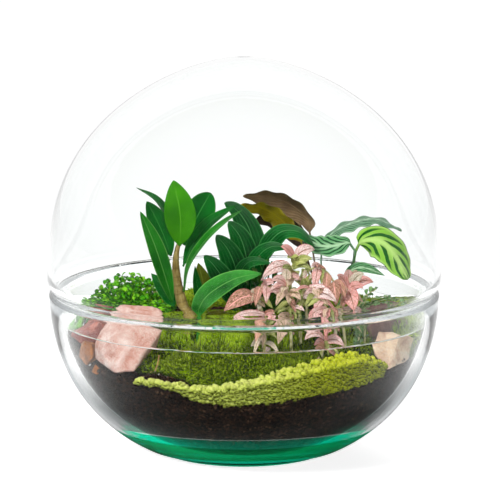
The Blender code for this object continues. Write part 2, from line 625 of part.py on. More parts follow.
CALATHEA_LEAVES = {
    "calathea_leaf_back_high": dict(
        spine=rooted((60, 10), (56, 24, 130), (51, 32, 160), (49, 35, 171), (36, 40, 182), (18, 43, 188),
                     (-1, 43, 188)),
        width=30, material=PURPLE_LEAF, face=((0.5, 0.6, 0.3), (0, 0.75, 0.7)), stalk=0.54, fold=-0.15,
        belly=0.9, point=0.55, across=4, wave=0.0012, stations=9),
    "calathea_leaf_back_mid": dict(
        spine=rooted((56, 14), (50, 24, 130), (44, 29, 155), (35, 31, 165), (24, 32, 175), (12, 32, 181),
                     (-3, 29, 183)),
        width=24, material=PURPLE_LEAF, face=((0.5, 0.6, 0.3), (0.1, 0.6, 0.8)), stalk=0.54, fold=-0.15,
        belly=0.9, point=0.6, across=4, wave=0.0010, stations=8),
    "calathea_leaf_back_low": dict(
        spine=rooted((60, 19), (52, 40, 130), (43, 52, 154), (33, 57, 163), (20, 60, 168), (8, 60, 165)),
        width=22, material=PURPLE_LEAF, face=((0.5, 0.7, 0.3), (0, 0.8, 0.5)), stalk=0.58, fold=-0.15,
        belly=0.9, point=0.6, across=4, stations=7),
    "calathea_leaf_mint": dict(
        spine=rooted((71, -1), (78, -5, 130), (84, -8, 152), (79, -11, 160), (68, -12, 158), (57, -10, 158),
                     (44, -5, 164)),
        width=22, material=ZEBRA_LEAF, face=((-0.5, -0.6, 0.1), (0.2, -0.55, 0.9)), stalk=0.66, fold=0.12,
        belly=0.85, point=0.6, across=4, wave=0.0008, stations=8),
    "calathea_leaf_far": dict(
        spine=rooted((66, 12), (60, 18, 130), (60, 21, 150), (68, 23, 162), (84, 24, 170), (102, 22, 173),
                     (121, 16, 165)),
        width=20, material=ZEBRA_LEAF, face=((-0.5, -0.2, 0.3), (0.3, 0.12, 1)), stalk=0.50, fold=-0.15,
        belly=0.9, point=0.6, across=4, wave=0.0010, stations=9),
    "calathea_leaf_zebra": dict(
        spine=rooted((74, 5), (82, 4, 130), (85, 3, 152), (91, 0, 160), (102, -6, 161), (112, -13, 154),
                     (119, -19, 142), (123, -22, 134)),
        width=29, material=ZEBRA_LEAF, face=((-0.2, -0.8, 0.3), (0.55, -0.8, 0.4)), stalk=0.56, fold=-0.15,
        belly=0.85, point=0.5, across=4, wave=0.0006, stations=10),
    "calathea_leaf_small": dict(
        spine=rooted((73, -5), (76, -9, 126), (80, -12, 138), (90, -16, 142), (106, -21, 137)), width=11,
        material=ZEBRA_LEAF, face=((-0.3, -0.8, 0.2), (0.2, -0.5, 0.9)), stalk=0.55, fold=0.12, stations=6),
}


def make_dracaena_stem():
    marks = np.linspace(0.0, 1.0, 8)
    places, _ = smooth_path(mm(DRACAENA_STEM), marks)
    radii = np.interp(marks, np.linspace(0, 1, len(DRACAENA_RADII)), mm(DRACAENA_RADII))
    return tube("dracaena_stem", places, radii, TAN_BARK, sides_step=3)


def make_leaves():
    for name, shape in {**DRACAENA_LEAVES, **CALATHEA_LEAVES}.items():
        leaf(name, **shape)
    for name, shape in STRAP_LEAVES.items():
        leaf(name, stalk_width=STRAP_STALK, **shape)


# ---------------------------------------------------------------- fittonia

# Each leafy stem: the line of its stem, then its leaves as (place along the stem, tip, width).
FITTONIA = {
    "fittonia_centre": (
        rooted((34, -77), (34, -79, 113), (33, -80, 130), (31, -82, 142)),
        [(1.0, (31, -86, 154), 9), (1.0, (20, -88, 146), 8), (0.95, (23, -93, 128), 8),
         (0.9, (41, -92, 132), 8), (0.55, (24, -106, 106), 14), (0.72, (44, -93, 121), 7)]),
    "fittonia_arch_right": (
        rooted((47, -65), (46, -65, 125), (44, -64, 143), (51, -65, 151), (60, -68, 149), (66, -71, 141)),
        [(1.0, (67, -80, 124), 10), (0.84, (51, -79, 135), 8), (0.45, (36, -67, 132), 8)]),
    "fittonia_right": (
        rooted((74, -59), (73, -58, 110), (75, -60, 128), (77, -62, 135)),
        [(1.0, (76, -66, 150), 9), (1.0, (88, -68, 147), 9), (0.97, (81, -82, 117), 15),
         (0.97, (95, -64, 140), 11), (0.6, (88, -72, 112), 9)]),
    "fittonia_arch_front": (
        rooted((41, -72), (41, -74, 115), (43, -80, 136), (49, -85, 139), (56, -89, 132), (61, -91, 122)),
        [(0.62, (68, -95, 132), 15), (1.0, (46, -104, 116), 11), (1.0, (68, -98, 112), 10)]),
    "fittonia_arch_left": (
        rooted((16, -71), (13, -72, 118), (10, -75, 133), (14, -78, 140), (19, -80, 139)),
        [(0.75, (-15, -94, 124), 16), (0.97, (16, -90, 129), 8), (1.0, (27, -84, 132), 6)]),
    "fittonia_back": (
        rooted((34, -59), (34, -58, 125), (35, -58, 146), (37, -57, 157)),
        [(1.0, (27, -60, 165), 8), (1.0, (52, -56, 161), 11), (0.9, (13, -70, 145), 11),
         (0.9, (50, -63, 157), 9), (0.75, (25, -66, 143), 9)]),
    "fittonia_front": (
        rooted((56, -89), (57, -93, 98), (58, -96, 105)),
        [(1.0, (43, -108, 107), 10), (0.95, (71, -104, 102), 9), (1.0, (62, -107, 112), 8)]),
    "fittonia_low_left": (
        rooted((14, -84), (15, -86, 104), (16, -88, 116)),
        [(0.97, (-9, -100, 115), 11), (0.9, (8, -99, 104), 9)]),
}


FITTONIA_RADII = (1.4, 1.0)     # of a stem at its foot and its top, mm
SUNK = 0.02                     # how far down its stem a leaf is rooted, as a share of the stem
ARCH = (0.0, -0.05, 0.20)       # how far a leaf's middle is off the straight line, as shares of its length


def loose_leaf(name, base, tip, width, material):
    """A leaf to be fused: from a point in its stem to its tip, arched up and to the front."""
    base, tip = np.asarray(base, dtype=float), np.asarray(tip, dtype=float)
    length = np.linalg.norm(tip - base)
    middle = (base + tip) / 2 + np.array(ARCH) * length
    heading = unit(tip - base)
    facing = np.array([0.0, -1.0, 0.5])
    facing = unit(facing - heading * (facing @ heading))
    top, bottom = blade_mesh([base, middle, tip], width, (facing, facing), fold=0.15, belly=0.8, point=0.9,
                             stalk_width=0.0014, stations=5 if width > 0.008 else 4)
    return sheet_body(name, top, bottom, material)


def stem_with_leaves(name, line, radii, leaves, material):
    """A stem and its leaves, given as (place along the stem, tip, width), fused in one body."""
    marks = np.linspace(0.0, 1.0, 7)
    places, _ = smooth_path(mm(line), marks)
    stem = tube(name, places, np.linspace(*radii, len(marks)) * MM, material, sides_step=1)
    pieces = []
    for index, (place, tip, width) in enumerate(leaves):
        base = np.array([np.interp(place - SUNK, marks, places[:, axis]) for axis in range(3)])
        pieces.append(loose_leaf(f"{name}_leaf_{index}", base, mm(tip), width * MM, material))
    return fuse(stem, pieces)


def make_fittonia():
    for name, (line, leaves) in FITTONIA.items():
        stem_with_leaves(name, line, FITTONIA_RADII, leaves, PINK_LEAF)


# ---------------------------------------------------------------- small-leaved bush and sprigs

BUSH_CENTRE = (-89, 6)
BUSH_SIZE = (29, 19, 36)        # half widths and height over the soil, mm
BUSH_LEAVES = 60


def small_leaf(name, root, tip, width, facing, material):
    """A small flat leaf from its sunk root to its tip, widest past its middle."""
    root, tip = Vector(root), Vector(tip)
    along = (tip - root).normalized()
    side = along.cross(Vector(facing)).normalized()
    thick = side.cross(along).normalized() * BLADE_THICK / 2
    length = (tip - root).length
    outline = [root + side * width * 0.2, root - side * width * 0.2,
               root + along * length * 0.72 - side * width / 2, tip - side * width * 0.22,
               tip + side * width * 0.22, root + along * length * 0.72 + side * width / 2]
    count = len(outline)
    points = [point + thick for point in outline] + [point - thick for point in outline]
    faces = [tuple(range(count)), tuple(range(2 * count - 1, count - 1, -1))]
    faces += [(i, (i + 1) % count, count + (i + 1) % count, count + i) for i in range(count)]
    return solid(name, points, faces, material)


def make_bush():
    """A leafy cushion: a core on the soil with small leaves standing out of it all over."""
    rng = np.random.default_rng(7)
    half_x, half_y, height = mm(BUSH_SIZE)
    middle = mm(BUSH_CENTRE)
    spokes = 10
    angles = 2 * pi * np.arange(spokes) / spokes
    # Each ring of the core, as shares of the half widths and of the height
    outline = ((0.62, 0.0), (0.80, 0.22), (0.72, 0.48), (0.40, 0.70))
    layers = []
    for share, lift in outline:
        x, y = middle[0] + half_x * share * np.cos(angles), middle[1] + half_y * share * np.sin(angles)
        layers.append(np.column_stack([x, y, ground(x, y) + 3 * GAP + height * lift]))
    low = ground(*middle) + 3 * GAP
    centres = [(*middle, low), (*middle, low + height * 0.76)]
    points = np.vstack(layers + [centres])
    core = solid("bush_small_leaved", points, ring_faces(len(layers), spokes), SMALL_LEAF)
    pieces = []
    # Leaves at even heights, each turned from the last by the golden angle
    for index in range(BUSH_LEAVES):
        tall = 0.05 + 0.93 * (index + 0.5) / BUSH_LEAVES
        turn = index * pi * (3 - 5 ** 0.5)
        ring = (1 - tall ** 2) ** 0.5
        reach = np.array([half_x * ring * cos(turn), half_y * ring * sin(turn), height * tall])
        start = np.array([*middle, low + 0.002])
        root = start + reach * 0.55
        tip = start + reach * (0.90 + 0.12 * rng.random()) + np.array([0.0, 0.0, 0.003]) * rng.random()
        facing = np.array([0.0, 0.0, 1.0]) + rng.normal(0.0, 0.35, 3)
        pieces.append(small_leaf(f"bush_leaf_{index}", root, tip, (8 + 3 * rng.random()) * MM, facing,
                                 SMALL_LEAF))
    return fuse(core, pieces)


SPRIG_RADII = (1.0, 0.7)        # mm
SPRIG_PAIRS = 5
SPRIG_LEAF = (0.006, 0.0045)    # length and width
SPRIG_FACING = (0.0, -0.4, 1.0)

SPRIGS = {
    "sprig_right_tall": rooted((89, -42), (91, -43, 108), (98, -43, 122), (106, -44, 125), (113, -45, 118)),
    "sprig_right_low": rooted((84, -47), (87, -52, 106), (92, -57, 115), (99, -58, 118)),
}


def make_sprigs():
    """Thin creeping stems with small leaves in pairs."""
    marks = np.linspace(0.0, 1.0, 7)
    length, width = SPRIG_LEAF
    for name, line in SPRIGS.items():
        places, headings = smooth_path(mm(line), marks)
        stem = tube(name, places, mm(np.linspace(*SPRIG_RADII, len(marks))), SMALL_LEAF, sides_step=0)
        pieces = []
        for index, place in enumerate(np.linspace(0.42, 0.97, SPRIG_PAIRS)):
            base = np.array([np.interp(place, marks, places[:, axis]) for axis in range(3)])
            heading = np.array([np.interp(place, marks, headings[:, axis]) for axis in range(3)])
            side = unit(np.cross(heading, (0.0, -0.3, 1.0)))
            for sign in (-1, 1):
                tip = base + (sign * side + 0.5 * heading) * length
                label = f"{name}_{index}_{sign}"
                pieces.append(small_leaf(label, base, tip, width, SPRIG_FACING, SMALL_LEAF))
        fuse(stem, pieces)


# ---------------------------------------------------------------- holes and planting

STEM_HOLES = [                  # x, y, radius of what stands there, mm
    (-41, -40, 7.0), (-31, -31, 1.8), (-34, -53, 1.8), (-27, -9, 2.6), (0, -18, 12.0), (66, 7, 16.5),
    (34, -77, 1.8), (47, -65, 1.8), (74, -59, 1.8), (41, -72, 1.8), (16, -71, 1.8), (34, -59, 1.8),
    (56, -89, 1.8), (14, -84, 1.8), (89, -42, 1.2), (84, -47, 1.2),
]
MOSS_TUFT = (-20, -49, 9)       # x, y, radius, mm


def make_hole(name, x, y, radius, depth):
    """An upright round cutter from a depth under the soil's surface, sizes in mm."""
    sides = 14 if radius > 5 else 8
    shape = bmesh.new()
    bmesh.ops.create_cone(shape, cap_ends=True, segments=sides, radius1=radius * MM, radius2=radius * MM,
                          depth=HOLE_HEIGHT)
    mesh = bpy.data.meshes.new(name)
    shape.to_mesh(mesh)
    shape.free()
    hole = link_mesh(name, mesh, SOIL, CUTTERS)
    x, y = x * MM, y * MM
    hole.location = (x, y, ground(x, y) - depth * MM + HOLE_HEIGHT / 2)
    hole.hide_render = True
    hole.display_type = "WIRE"
    bpy.context.view_layer.update()
    return hole


def make_planting():
    pockets = make_stones()
    play, depth = HOLE_PLAY / MM, ROOT_DEPTH / MM + 3
    holes = [make_hole(f"hole_{index}", x, y, radius + play, depth)
             for index, (x, y, radius) in enumerate(STEM_HOLES)]
    tuft_x, tuft_y, tuft_radius = MOSS_TUFT
    tuft_room = make_hole("tuft_room", tuft_x, tuft_y, tuft_radius * 1.2, 5)
    cut(make_soil(), pockets + holes)
    cut(moss_bank("moss_front", (-121.0, -49.0), (0.040, 0.1145), 0.016, 0.004, (18, 7), GREEN_MOSS, 0.7),
        holes + [tuft_room])
    moss_bank("moss_back", (2.0, 152.0), (0.083, None), 0.009, 0.004, (22, 5), GREEN_MOSS, 1.9)
    moss_bank("reindeer_moss", (-126.0, -43.0), (0.1165, None), 0.021, 0.005, (30, 4), PALE_MOSS, 0.2)
    moss_tuft("moss_tuft_olive", (tuft_x * MM, tuft_y * MM), tuft_radius * MM, 0.018, OLIVE_MOSS, 0.4)


make_bowl()
make_dome()
make_planting()
make_dracaena_stem()
make_leaves()
make_fittonia()
make_bush()
make_sprigs()
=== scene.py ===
# %% [markdown]
# # A planted glass globe
#
# The real object is a small garden in a closed globe: a blown bowl with a heavy green base, a dome that
# sits in its rim, and between them soil, stones, moss and young house plants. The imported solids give
# every place and size. This lesson dresses them: clear glass that bends light, crumbly soil, moss made
# of single shoots, and leaves with ribs, veins and a colour of their own.

# %% Load the frame
import bmesh
import bpy
import numpy as np
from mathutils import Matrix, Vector


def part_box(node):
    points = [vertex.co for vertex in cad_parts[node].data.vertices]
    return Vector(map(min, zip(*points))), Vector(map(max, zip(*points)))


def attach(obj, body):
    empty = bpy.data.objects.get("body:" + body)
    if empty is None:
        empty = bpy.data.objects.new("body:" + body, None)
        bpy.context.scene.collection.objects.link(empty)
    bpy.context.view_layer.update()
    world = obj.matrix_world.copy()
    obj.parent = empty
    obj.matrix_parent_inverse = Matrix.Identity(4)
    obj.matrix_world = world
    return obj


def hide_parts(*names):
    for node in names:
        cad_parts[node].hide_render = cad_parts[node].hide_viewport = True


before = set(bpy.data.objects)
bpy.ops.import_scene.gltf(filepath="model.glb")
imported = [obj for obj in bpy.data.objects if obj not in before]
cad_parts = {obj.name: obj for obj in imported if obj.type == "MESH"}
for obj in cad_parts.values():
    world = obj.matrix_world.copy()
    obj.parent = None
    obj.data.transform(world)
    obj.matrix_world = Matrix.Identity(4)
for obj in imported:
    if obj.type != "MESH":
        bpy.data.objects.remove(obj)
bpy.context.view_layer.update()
MM = 0.001
rng = np.random.default_rng(11)
print("nodes in the frame:", len(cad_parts))

# %% [markdown]
# ## Camera, light and floor
#
# A glass globe shows mostly what stands around it, so the studio is nearly all white: a white table and
# a white room that turns greyer low down at both sides. The grey draws the faint dark edges that tell the
# eye where the glass turns away. Two large lamps in front and one behind model the leaves. The camera
# looks slightly down from two metres away through a long lens, which keeps the rims flat.

# %% Camera
CAMERA_PLACE = (0.0, -2.0, 0.502)
CAMERA_AIM = (0.0044, 0.0, 0.153)
CAMERA_LENS = 192
CAMERA_SENSOR = 36
# Light that enters the wall edge-on is mirrored to and fro inside it, and a ray ends after this many turns.
# The number sets how grey the bowl's edge looks, and a higher one makes it lighter.
GLASS_BOUNCES = 46


def aimed(thing, place, aim):
    """Put a camera or lamp at a place with its -Z axis towards the aim and its +Y axis up."""
    thing.location = place
    thing.rotation_euler = (Vector(aim) - Vector(place)).to_track_quat("-Z", "Y").to_euler()


camera = bpy.data.objects.new("camera", bpy.data.cameras.new("camera"))
camera.data.lens = CAMERA_LENS
camera.data.sensor_width = CAMERA_SENSOR
bpy.context.scene.collection.objects.link(camera)
aimed(camera, CAMERA_PLACE, CAMERA_AIM)
bpy.context.scene.camera = camera
bpy.context.scene.view_settings.view_transform = "Standard"
for limit in ("max_bounces", "transmission_bounces", "glossy_bounces"):
    setattr(bpy.context.scene.cycles, limit, GLASS_BOUNCES)

# %% [markdown]
# ## Node helpers
#
# Every finish below is a small graph of nodes. One helper adds a node and fills its inputs: a number or
# a colour is set on the socket, and another node's output is linked to it. The others add the commonest
# steps: a colour ramp, a mix of two colours, a sum, a noise and a bump.

# %% Helpers for materials
def fill(tree, socket, value):
    """Set a socket to a value, or link another node's output to it."""
    if isinstance(value, bpy.types.NodeSocket):
        tree.links.new(value, socket)
    else:
        socket.default_value = value


def add(tree, kind, settings=None, **inputs):
    """Add a node. Each input is a value, or another node's output socket to link from."""
    made = tree.nodes.new("ShaderNode" + kind)
    for key, value in (settings or {}).items():
        setattr(made, key, value)
    for key, value in inputs.items():
        fill(tree, made.inputs[key.replace("_", " ")], value)
    return made


def colour(red, green, blue):
    """A colour given as it looks on a screen, 0 to 255, as the linear values that a shader takes."""
    shown = np.array([red, green, blue]) / 255
    linear = np.where(shown <= 0.04045, shown / 12.92, ((shown + 0.055) / 1.055) ** 2.4)
    return (*(float(value) for value in linear), 1.0)


def ramp(tree, value, *stops):
    """A colour that runs through the stops, each (place from 0 to 1, colour), as the value grows."""
    made = add(tree, "ValToRGB", Fac=value)
    elements = made.color_ramp.elements
    elements[0].position, elements[0].color = stops[0]
    elements[1].position, elements[1].color = stops[-1]
    for place, shade in stops[1:-1]:
        elements.new(place).color = shade
    return made.outputs["Color"]


def mixed(tree, share, first, second, mode="MIX"):
    """The first colour where the share is 0, the second where it is 1."""
    made = tree.nodes.new("ShaderNodeMix")
    made.data_type = "RGBA"
    made.blend_type = mode
    for index, value in ((0, share), (6, first), (7, second)):
        fill(tree, made.inputs[index], value)
    return made.outputs[2]


def maths(tree, operation, first, second=0.0, clamp=False):
    """One sum on two numbers or sockets."""
    made = tree.nodes.new("ShaderNodeMath")
    made.operation = operation
    made.use_clamp = clamp
    for index, value in enumerate((first, second)):
        fill(tree, made.inputs[index], value)
    return made.outputs[0]


def times(tree, first, second):
    """The product of two numbers."""
    return maths(tree, "MULTIPLY", first, second)


def weighted(tree, first, second):
    """The sum of two numbers, each given with its weight."""
    return maths(tree, "ADD", times(tree, *first), times(tree, *second))


def faded(tree, value, start, end, full=1.0, kind="LINEAR"):
    """A number that runs from 0 to full as the value goes from start to end, and stays there beyond."""
    return add(tree, "MapRange", {"interpolation_type": kind}, Value=value, From_Min=start, From_Max=end,
               To_Max=full).outputs[0]


def own_place(tree):
    """Where a point lies in the object, in metres."""
    return add(tree, "TexCoord").outputs["Object"]


def stored(tree, name, output="Fac"):
    """A number that the mesh stores at its points, or a vector."""
    return add(tree, "Attribute", {"attribute_name": name}).outputs[output]


def cloudy(tree, place, scale, detail, **inputs):
    """Noise from 0 to 1, with about scale blots to the metre."""
    return add(tree, "TexNoise", Vector=place, Scale=scale, Detail=detail, **inputs).outputs[0]


def paint(tree, shader, shade):
    """Give the surface this colour."""
    tree.links.new(shade, shader.inputs["Base Color"])


def bump(tree, shader, height, strength, distance):
    """Shade the surface as if it rose with the height, by up to distance metres."""
    made = add(tree, "Bump", Strength=strength, Distance=distance, Height=height)
    tree.links.new(made.outputs[0], shader.inputs["Normal"])


def new_material(name, **inputs):
    """A material with one Principled shader, and its tree and shader to build on."""
    material = bpy.data.materials.new(name)
    material.use_nodes = True
    tree = material.node_tree
    shader = tree.nodes["Principled BSDF"]
    for key, value in inputs.items():
        shader.inputs[key.replace("_", " ")].default_value = value
    return material, tree, shader


# %% [markdown]
# The room is white, greyer low down at the left and right, and dim behind the camera. Glass mirrors
# whatever stands in front of it, so mirror rays see a greyer room and a dark table, which keeps glare off
# the globe. For rays through the glass the table is shaded close round the foot. It glows a little, as
# if lit from below. Light that falls on the plants comes more from the lamps than from the walls, which
# keeps it from being flat. This is stage lighting: real walls look alike to every ray.

# %% Room, lamps and floor
ROOM_WHITE = (1.0, 1.0, 1.0, 1.0)
ROOM_GREY = (0.54, 0.61, 0.64, 1.0)
ROOM_DIM = (0.64, 0.68, 0.70, 1.0)
SIDE_POWER = 3.0                # the grey grows with this power of how far a direction points sideways
SIDE_FLATNESS = 1.6             # and shrinks this many times as fast as the direction points up or down
DIM_FROM = (-0.1, -0.7)         # the dimness starts and is full where directions point back this much
MIRRORED_ROOM = 0.62            # how much darker mirror rays see the room
MIRRORED_FROM = (1.0, 0.35)     # for directions that point forward less than this, and in full below that
DIFFUSE_ROOM = 0.55             # and how much less the room lights what is matte
BLACK = (0.0, 0.0, 0.0, 1.0)
LAMPS = (                       # name, place, aim, size, power
    ("key_lamp", (-0.9, -1.0, 1.5), (0, 0, 0.12), 0.6, 34.0),
    ("front_lamp", (0.3, -1.7, 0.45), (0, 0, 0.10), 0.7, 17.0),
    ("back_lamp", (0.2, 1.3, 1.0), (0, 0, 0.14), 0.9, 10.0),
)
FLOOR_HALF = 12.0
FLOOR_DROP = 0.0004             # under the foot, so that the two faces don't fight
FLOOR_WHITE = (0.92, 0.92, 0.92, 1.0)
FLOOR_MIRRORED = (0.05, 0.05, 0.05, 1.0)    # in mirror rays
MIRRORED_Y = (0.3, 0.0)         # where that starts, behind the globe, and where it is full
FLOOR_SHADED = (0.25, 0.27, 0.27, 1.0)
SHADE_RING = (0.10, 0.13, 0.24) # radii where the shade starts, and over which it runs out again
FAR_TABLE = (0.25, 0.70)        # radii over which it brightens to full white
TABLE_GLOW = (0.75, 0.75, 0.75, 1.0)        # to the eye and through the glass
FAINT_GLOW = (0.35, 0.35, 0.35, 1.0)        # and for light that falls on the globe

world = bpy.data.worlds.new("studio")
bpy.context.scene.world = world
world.use_nodes = True
room = world.node_tree
direction = add(room, "TexCoord").outputs["Generated"]
axes = add(room, "SeparateXYZ", Vector=direction).outputs
sideways = maths(room, "POWER", maths(room, "ABSOLUTE", axes["X"]), SIDE_POWER)
steep = times(room, maths(room, "ABSOLUTE", axes["Z"]), SIDE_FLATNESS)
low_side = times(room, sideways, maths(room, "SUBTRACT", 1.0, steep, True))
near = faded(room, axes["Y"], *DIM_FROM)
shade = mixed(room, near, mixed(room, low_side, ROOM_WHITE, ROOM_GREY), ROOM_DIM)
path = add(room, "LightPath").outputs
facing = faded(room, axes["Y"], *MIRRORED_FROM, MIRRORED_ROOM)
dimming = maths(room, "ADD", times(room, path["Is Reflection Ray"], facing),
                times(room, path["Is Diffuse Ray"], DIFFUSE_ROOM), True)
shade = mixed(room, path["Is Camera Ray"], mixed(room, dimming, shade, BLACK), ROOM_WHITE)
background = room.nodes["Background"]
room.links.new(shade, background.inputs["Color"])
background.inputs["Strength"].default_value = 1.0

for name, place, aim, size, power in LAMPS:
    lamp = bpy.data.objects.new(name, bpy.data.lights.new(name, "AREA"))
    lamp.data.size = size
    lamp.data.energy = power
    lamp.visible_glossy = False
    lamp.visible_transmission = False
    bpy.context.scene.collection.objects.link(lamp)
    aimed(lamp, place, aim)

floor_mesh = bpy.data.meshes.new("studio_floor")
corners = [(x * FLOOR_HALF, y * FLOOR_HALF, -FLOOR_DROP) for x, y in ((-1, -1), (1, -1), (1, 1), (-1, 1))]
floor_mesh.from_pydata(corners, [], [(0, 1, 2, 3)])
floor = bpy.data.objects.new("studio_floor", floor_mesh)
bpy.context.scene.collection.objects.link(floor)
floor_white, tree, shader = new_material("floor_white", Roughness=0.9, Emission_Strength=1.0)
path = add(tree, "LightPath").outputs
place = own_place(tree)
distance = add(tree, "VectorMath", {"operation": "LENGTH"}, Vector=place).outputs["Value"]
near = faded(tree, distance, SHADE_RING[2], SHADE_RING[1])
beside = maths(tree, "GREATER_THAN", distance, SHADE_RING[0])
shaded = times(tree, times(tree, near, beside), path["Is Transmission Ray"])
white = mixed(tree, shaded, FLOOR_WHITE, FLOOR_SHADED)
depth = add(tree, "SeparateXYZ", Vector=place).outputs["Y"]
front = faded(tree, depth, *MIRRORED_Y)
mirrored = times(tree, path["Is Reflection Ray"], front)
seen = maths(tree, "MAXIMUM", path["Is Camera Ray"], path["Is Transmission Ray"])
afar = faded(tree, distance, *FAR_TABLE)
white = mixed(tree, times(tree, afar, seen), white, BLACK)
paint(tree, shader, mixed(tree, mirrored, white, FLOOR_MIRRORED))
glow = mixed(tree, seen, FAINT_GLOW, mixed(tree, afar, TABLE_GLOW, ROOM_WHITE))
unlit = maths(tree, "MAXIMUM", shaded, mirrored)
tree.links.new(mixed(tree, unlit, glow, BLACK), shader.inputs["Emission Color"])
floor.data.materials.append(floor_white)

# %% [markdown]
# ## Mesh helpers
#
# New pieces are sheets of points worked out as whole arrays. A grid of points becomes a mesh by joining
# each point to its neighbours. Small things that repeat, such as crumbs and shoots, are one little shape
# that is turned, scaled and moved many times in one array product.


# %% Helpers for meshes
WELD = 0.000002                 # points closer than this, in metres, are one


def mesh_piece(name, points, faces, material, slot, weld=False, **attributes):
    """A piece from points (n, 3) and faces (m, 3) or (m, 4), with named numbers or vectors at its points.

    weld joins points that lie on one another, such as a turned shape's at its axis.
    """
    points = np.asarray(points, dtype=np.float32).reshape(-1, 3)
    faces = np.asarray(faces, dtype=np.int32)
    count, corners = faces.shape
    mesh = bpy.data.meshes.new(name)
    mesh.vertices.add(len(points))
    mesh.vertices.foreach_set("co", points.ravel())
    mesh.loops.add(count * corners)
    mesh.loops.foreach_set("vertex_index", faces.ravel())
    mesh.polygons.add(count)
    mesh.polygons.foreach_set("loop_start", np.arange(0, count * corners, corners, dtype=np.int32))
    for key, values in attributes.items():
        values = np.asarray(values, dtype=np.float32)
        kind = "FLOAT" if values.ndim == 1 else "FLOAT_VECTOR"
        attribute = mesh.attributes.new(key, kind, "POINT")
        attribute.data.foreach_set("value" if kind == "FLOAT" else "vector", values.ravel())
    mesh.update(calc_edges=True)
    if weld:
        shape = bmesh.new()
        shape.from_mesh(mesh)
        bmesh.ops.remove_doubles(shape, verts=shape.verts, dist=WELD)
        shape.to_mesh(mesh)
        shape.free()
    mesh.shade_smooth()
    piece = bpy.data.objects.new(name, mesh)
    bpy.context.scene.collection.objects.link(piece)
    mesh.materials.append(material)
    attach(piece, "root")
    print(f"{name}: {count * (corners - 2)} triangles")
    return piece


def grid_faces(rows, columns, round_trip=False):
    """Quads between the points of a grid; round_trip joins the last column to the first."""
    row, column = np.meshgrid(np.arange(rows - 1), np.arange(columns - (0 if round_trip else 1)), indexing="ij")
    after = (column + 1) % columns
    quads = [row * columns + column, row * columns + after, (row + 1) * columns + after,
             (row + 1) * columns + column]
    return np.stack(quads, axis=-1).reshape(-1, 4)


def unit(vectors):
    """The same directions with length one."""
    vectors = np.asarray(vectors, dtype=float)
    return vectors / np.maximum(np.linalg.norm(vectors, axis=-1, keepdims=True), 1e-12)


def outward(points, faces):
    """The faces of a closed surface, turned over if they look inwards: its signed volume tells."""
    corners = np.asarray(points, dtype=float).reshape(-1, 3)[faces]
    first, fan = corners[:, 0], corners[:, 1:]
    volume = sum(np.einsum("ij,ij->", first, np.cross(fan[:, i], fan[:, i + 1]))
                 for i in range(fan.shape[1] - 1))
    return faces if volume > 0 else faces[:, ::-1]


def closed_faces(points):
    """The quads of a grid whose rows close into rings, looking outwards."""
    return outward(points, grid_faces(*points.shape[:2], True))


def round_angles(count):
    """Angles evenly spaced round a circle."""
    return np.linspace(0, 2 * np.pi, count, endpoint=False)


def turned(profile, around):
    """A profile of (radius, height) carried round the Z axis: x = r cos a, y = r sin a, z = height."""
    angle = round_angles(around)
    radius, height = np.asarray(profile, dtype=float).T
    return np.dstack([radius[:, None] * np.cos(angle), radius[:, None] * np.sin(angle),
                      np.repeat(height[:, None], around, axis=1)])


# %% [markdown]
# ## The glass bowl
#
# The bowl is a squashed sphere, cut flat below and open above its middle. Its wall is under 4 mm at the
# rim and more than twice that at the floor, as molten glass sinks in the mould. Both surfaces are
# modelled, because a real wall bends light twice: that is what makes the clear band beside the soil,
# and the green pool under it. The shape is one profile turned round the axis.

# %% Bowl profile
GAP = 0.0003                    # between pieces that lie against each other, in metres
BOWL_RADIUS = 0.1485
BOWL_MIDDLE = 0.125
BOWL_DEPTH = 0.137
BOWL_ROUNDNESS = 2.2
RIM_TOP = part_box("glass_bowl")[1].z
RIM_WALL = 0.0036
FLOOR_WALL = 0.0085             # thicker than in the solid, which lifts the green of the base
WALL_GROWTH = 0.45
FOOT_ROUNDING = 0.0035
FLANK_START = 0.004             # the height where the rounded foot is over
BOWL_RINGS = 70
AROUND = 160


def bowl_outside(z):
    """The outer radius: R (1 - (|z - middle| / depth)^n)^(1/n), a circle whose sides are a little square."""
    rise = np.abs(z - BOWL_MIDDLE) / BOWL_DEPTH
    return BOWL_RADIUS * (1 - rise ** BOWL_ROUNDNESS) ** (1 / BOWL_ROUNDNESS)


bowl_z = np.linspace(0, RIM_TOP - RIM_WALL / 2, BOWL_RINGS)
bowl_r = bowl_outside(bowl_z)
wall = RIM_WALL + (FLOOR_WALL - RIM_WALL) * (1 - bowl_z / RIM_TOP) ** WALL_GROWTH
inward = unit(np.column_stack([-np.ones(BOWL_RINGS), np.gradient(bowl_r, bowl_z)]))
inward[0] = (0, 1)
BOWL_OUTSIDE = np.column_stack([bowl_r, bowl_z])
BOWL_INSIDE = BOWL_OUTSIDE + inward * wall[:, None]
rim_middle = (BOWL_OUTSIDE[-1] + BOWL_INSIDE[-1]) / 2


def inner_radius(z):
    """The bowl's inner radius at a height."""
    return np.interp(z, BOWL_INSIDE[1:, 1], BOWL_INSIDE[1:, 0])


def arc(centre, radius, start, end, count):
    """Points on a circle between two angles in degrees."""
    angle = np.radians(np.linspace(start, end, count))
    return np.asarray(centre) + radius * np.column_stack([np.cos(angle), np.sin(angle)])


print("bowl inner radius 90 mm up:", round(float(inner_radius(0.090)) / MM, 1), "mm")

# %% [markdown]
# Clear glass is one shader with full transmission. Glass also has to let the lamps reach the plants:
# a shadow ray that met a refracting surface would stop there, so for shadow rays, and for rays that
# light matte things, the material is plainly transparent. Glass is green only in a long run through it,
# as along the heavy base. A ray that enters the low flank runs between floor and foot, mirrored to and
# fro, and leaves at the other side. Tinting the low flank therefore fills the whole base with green.

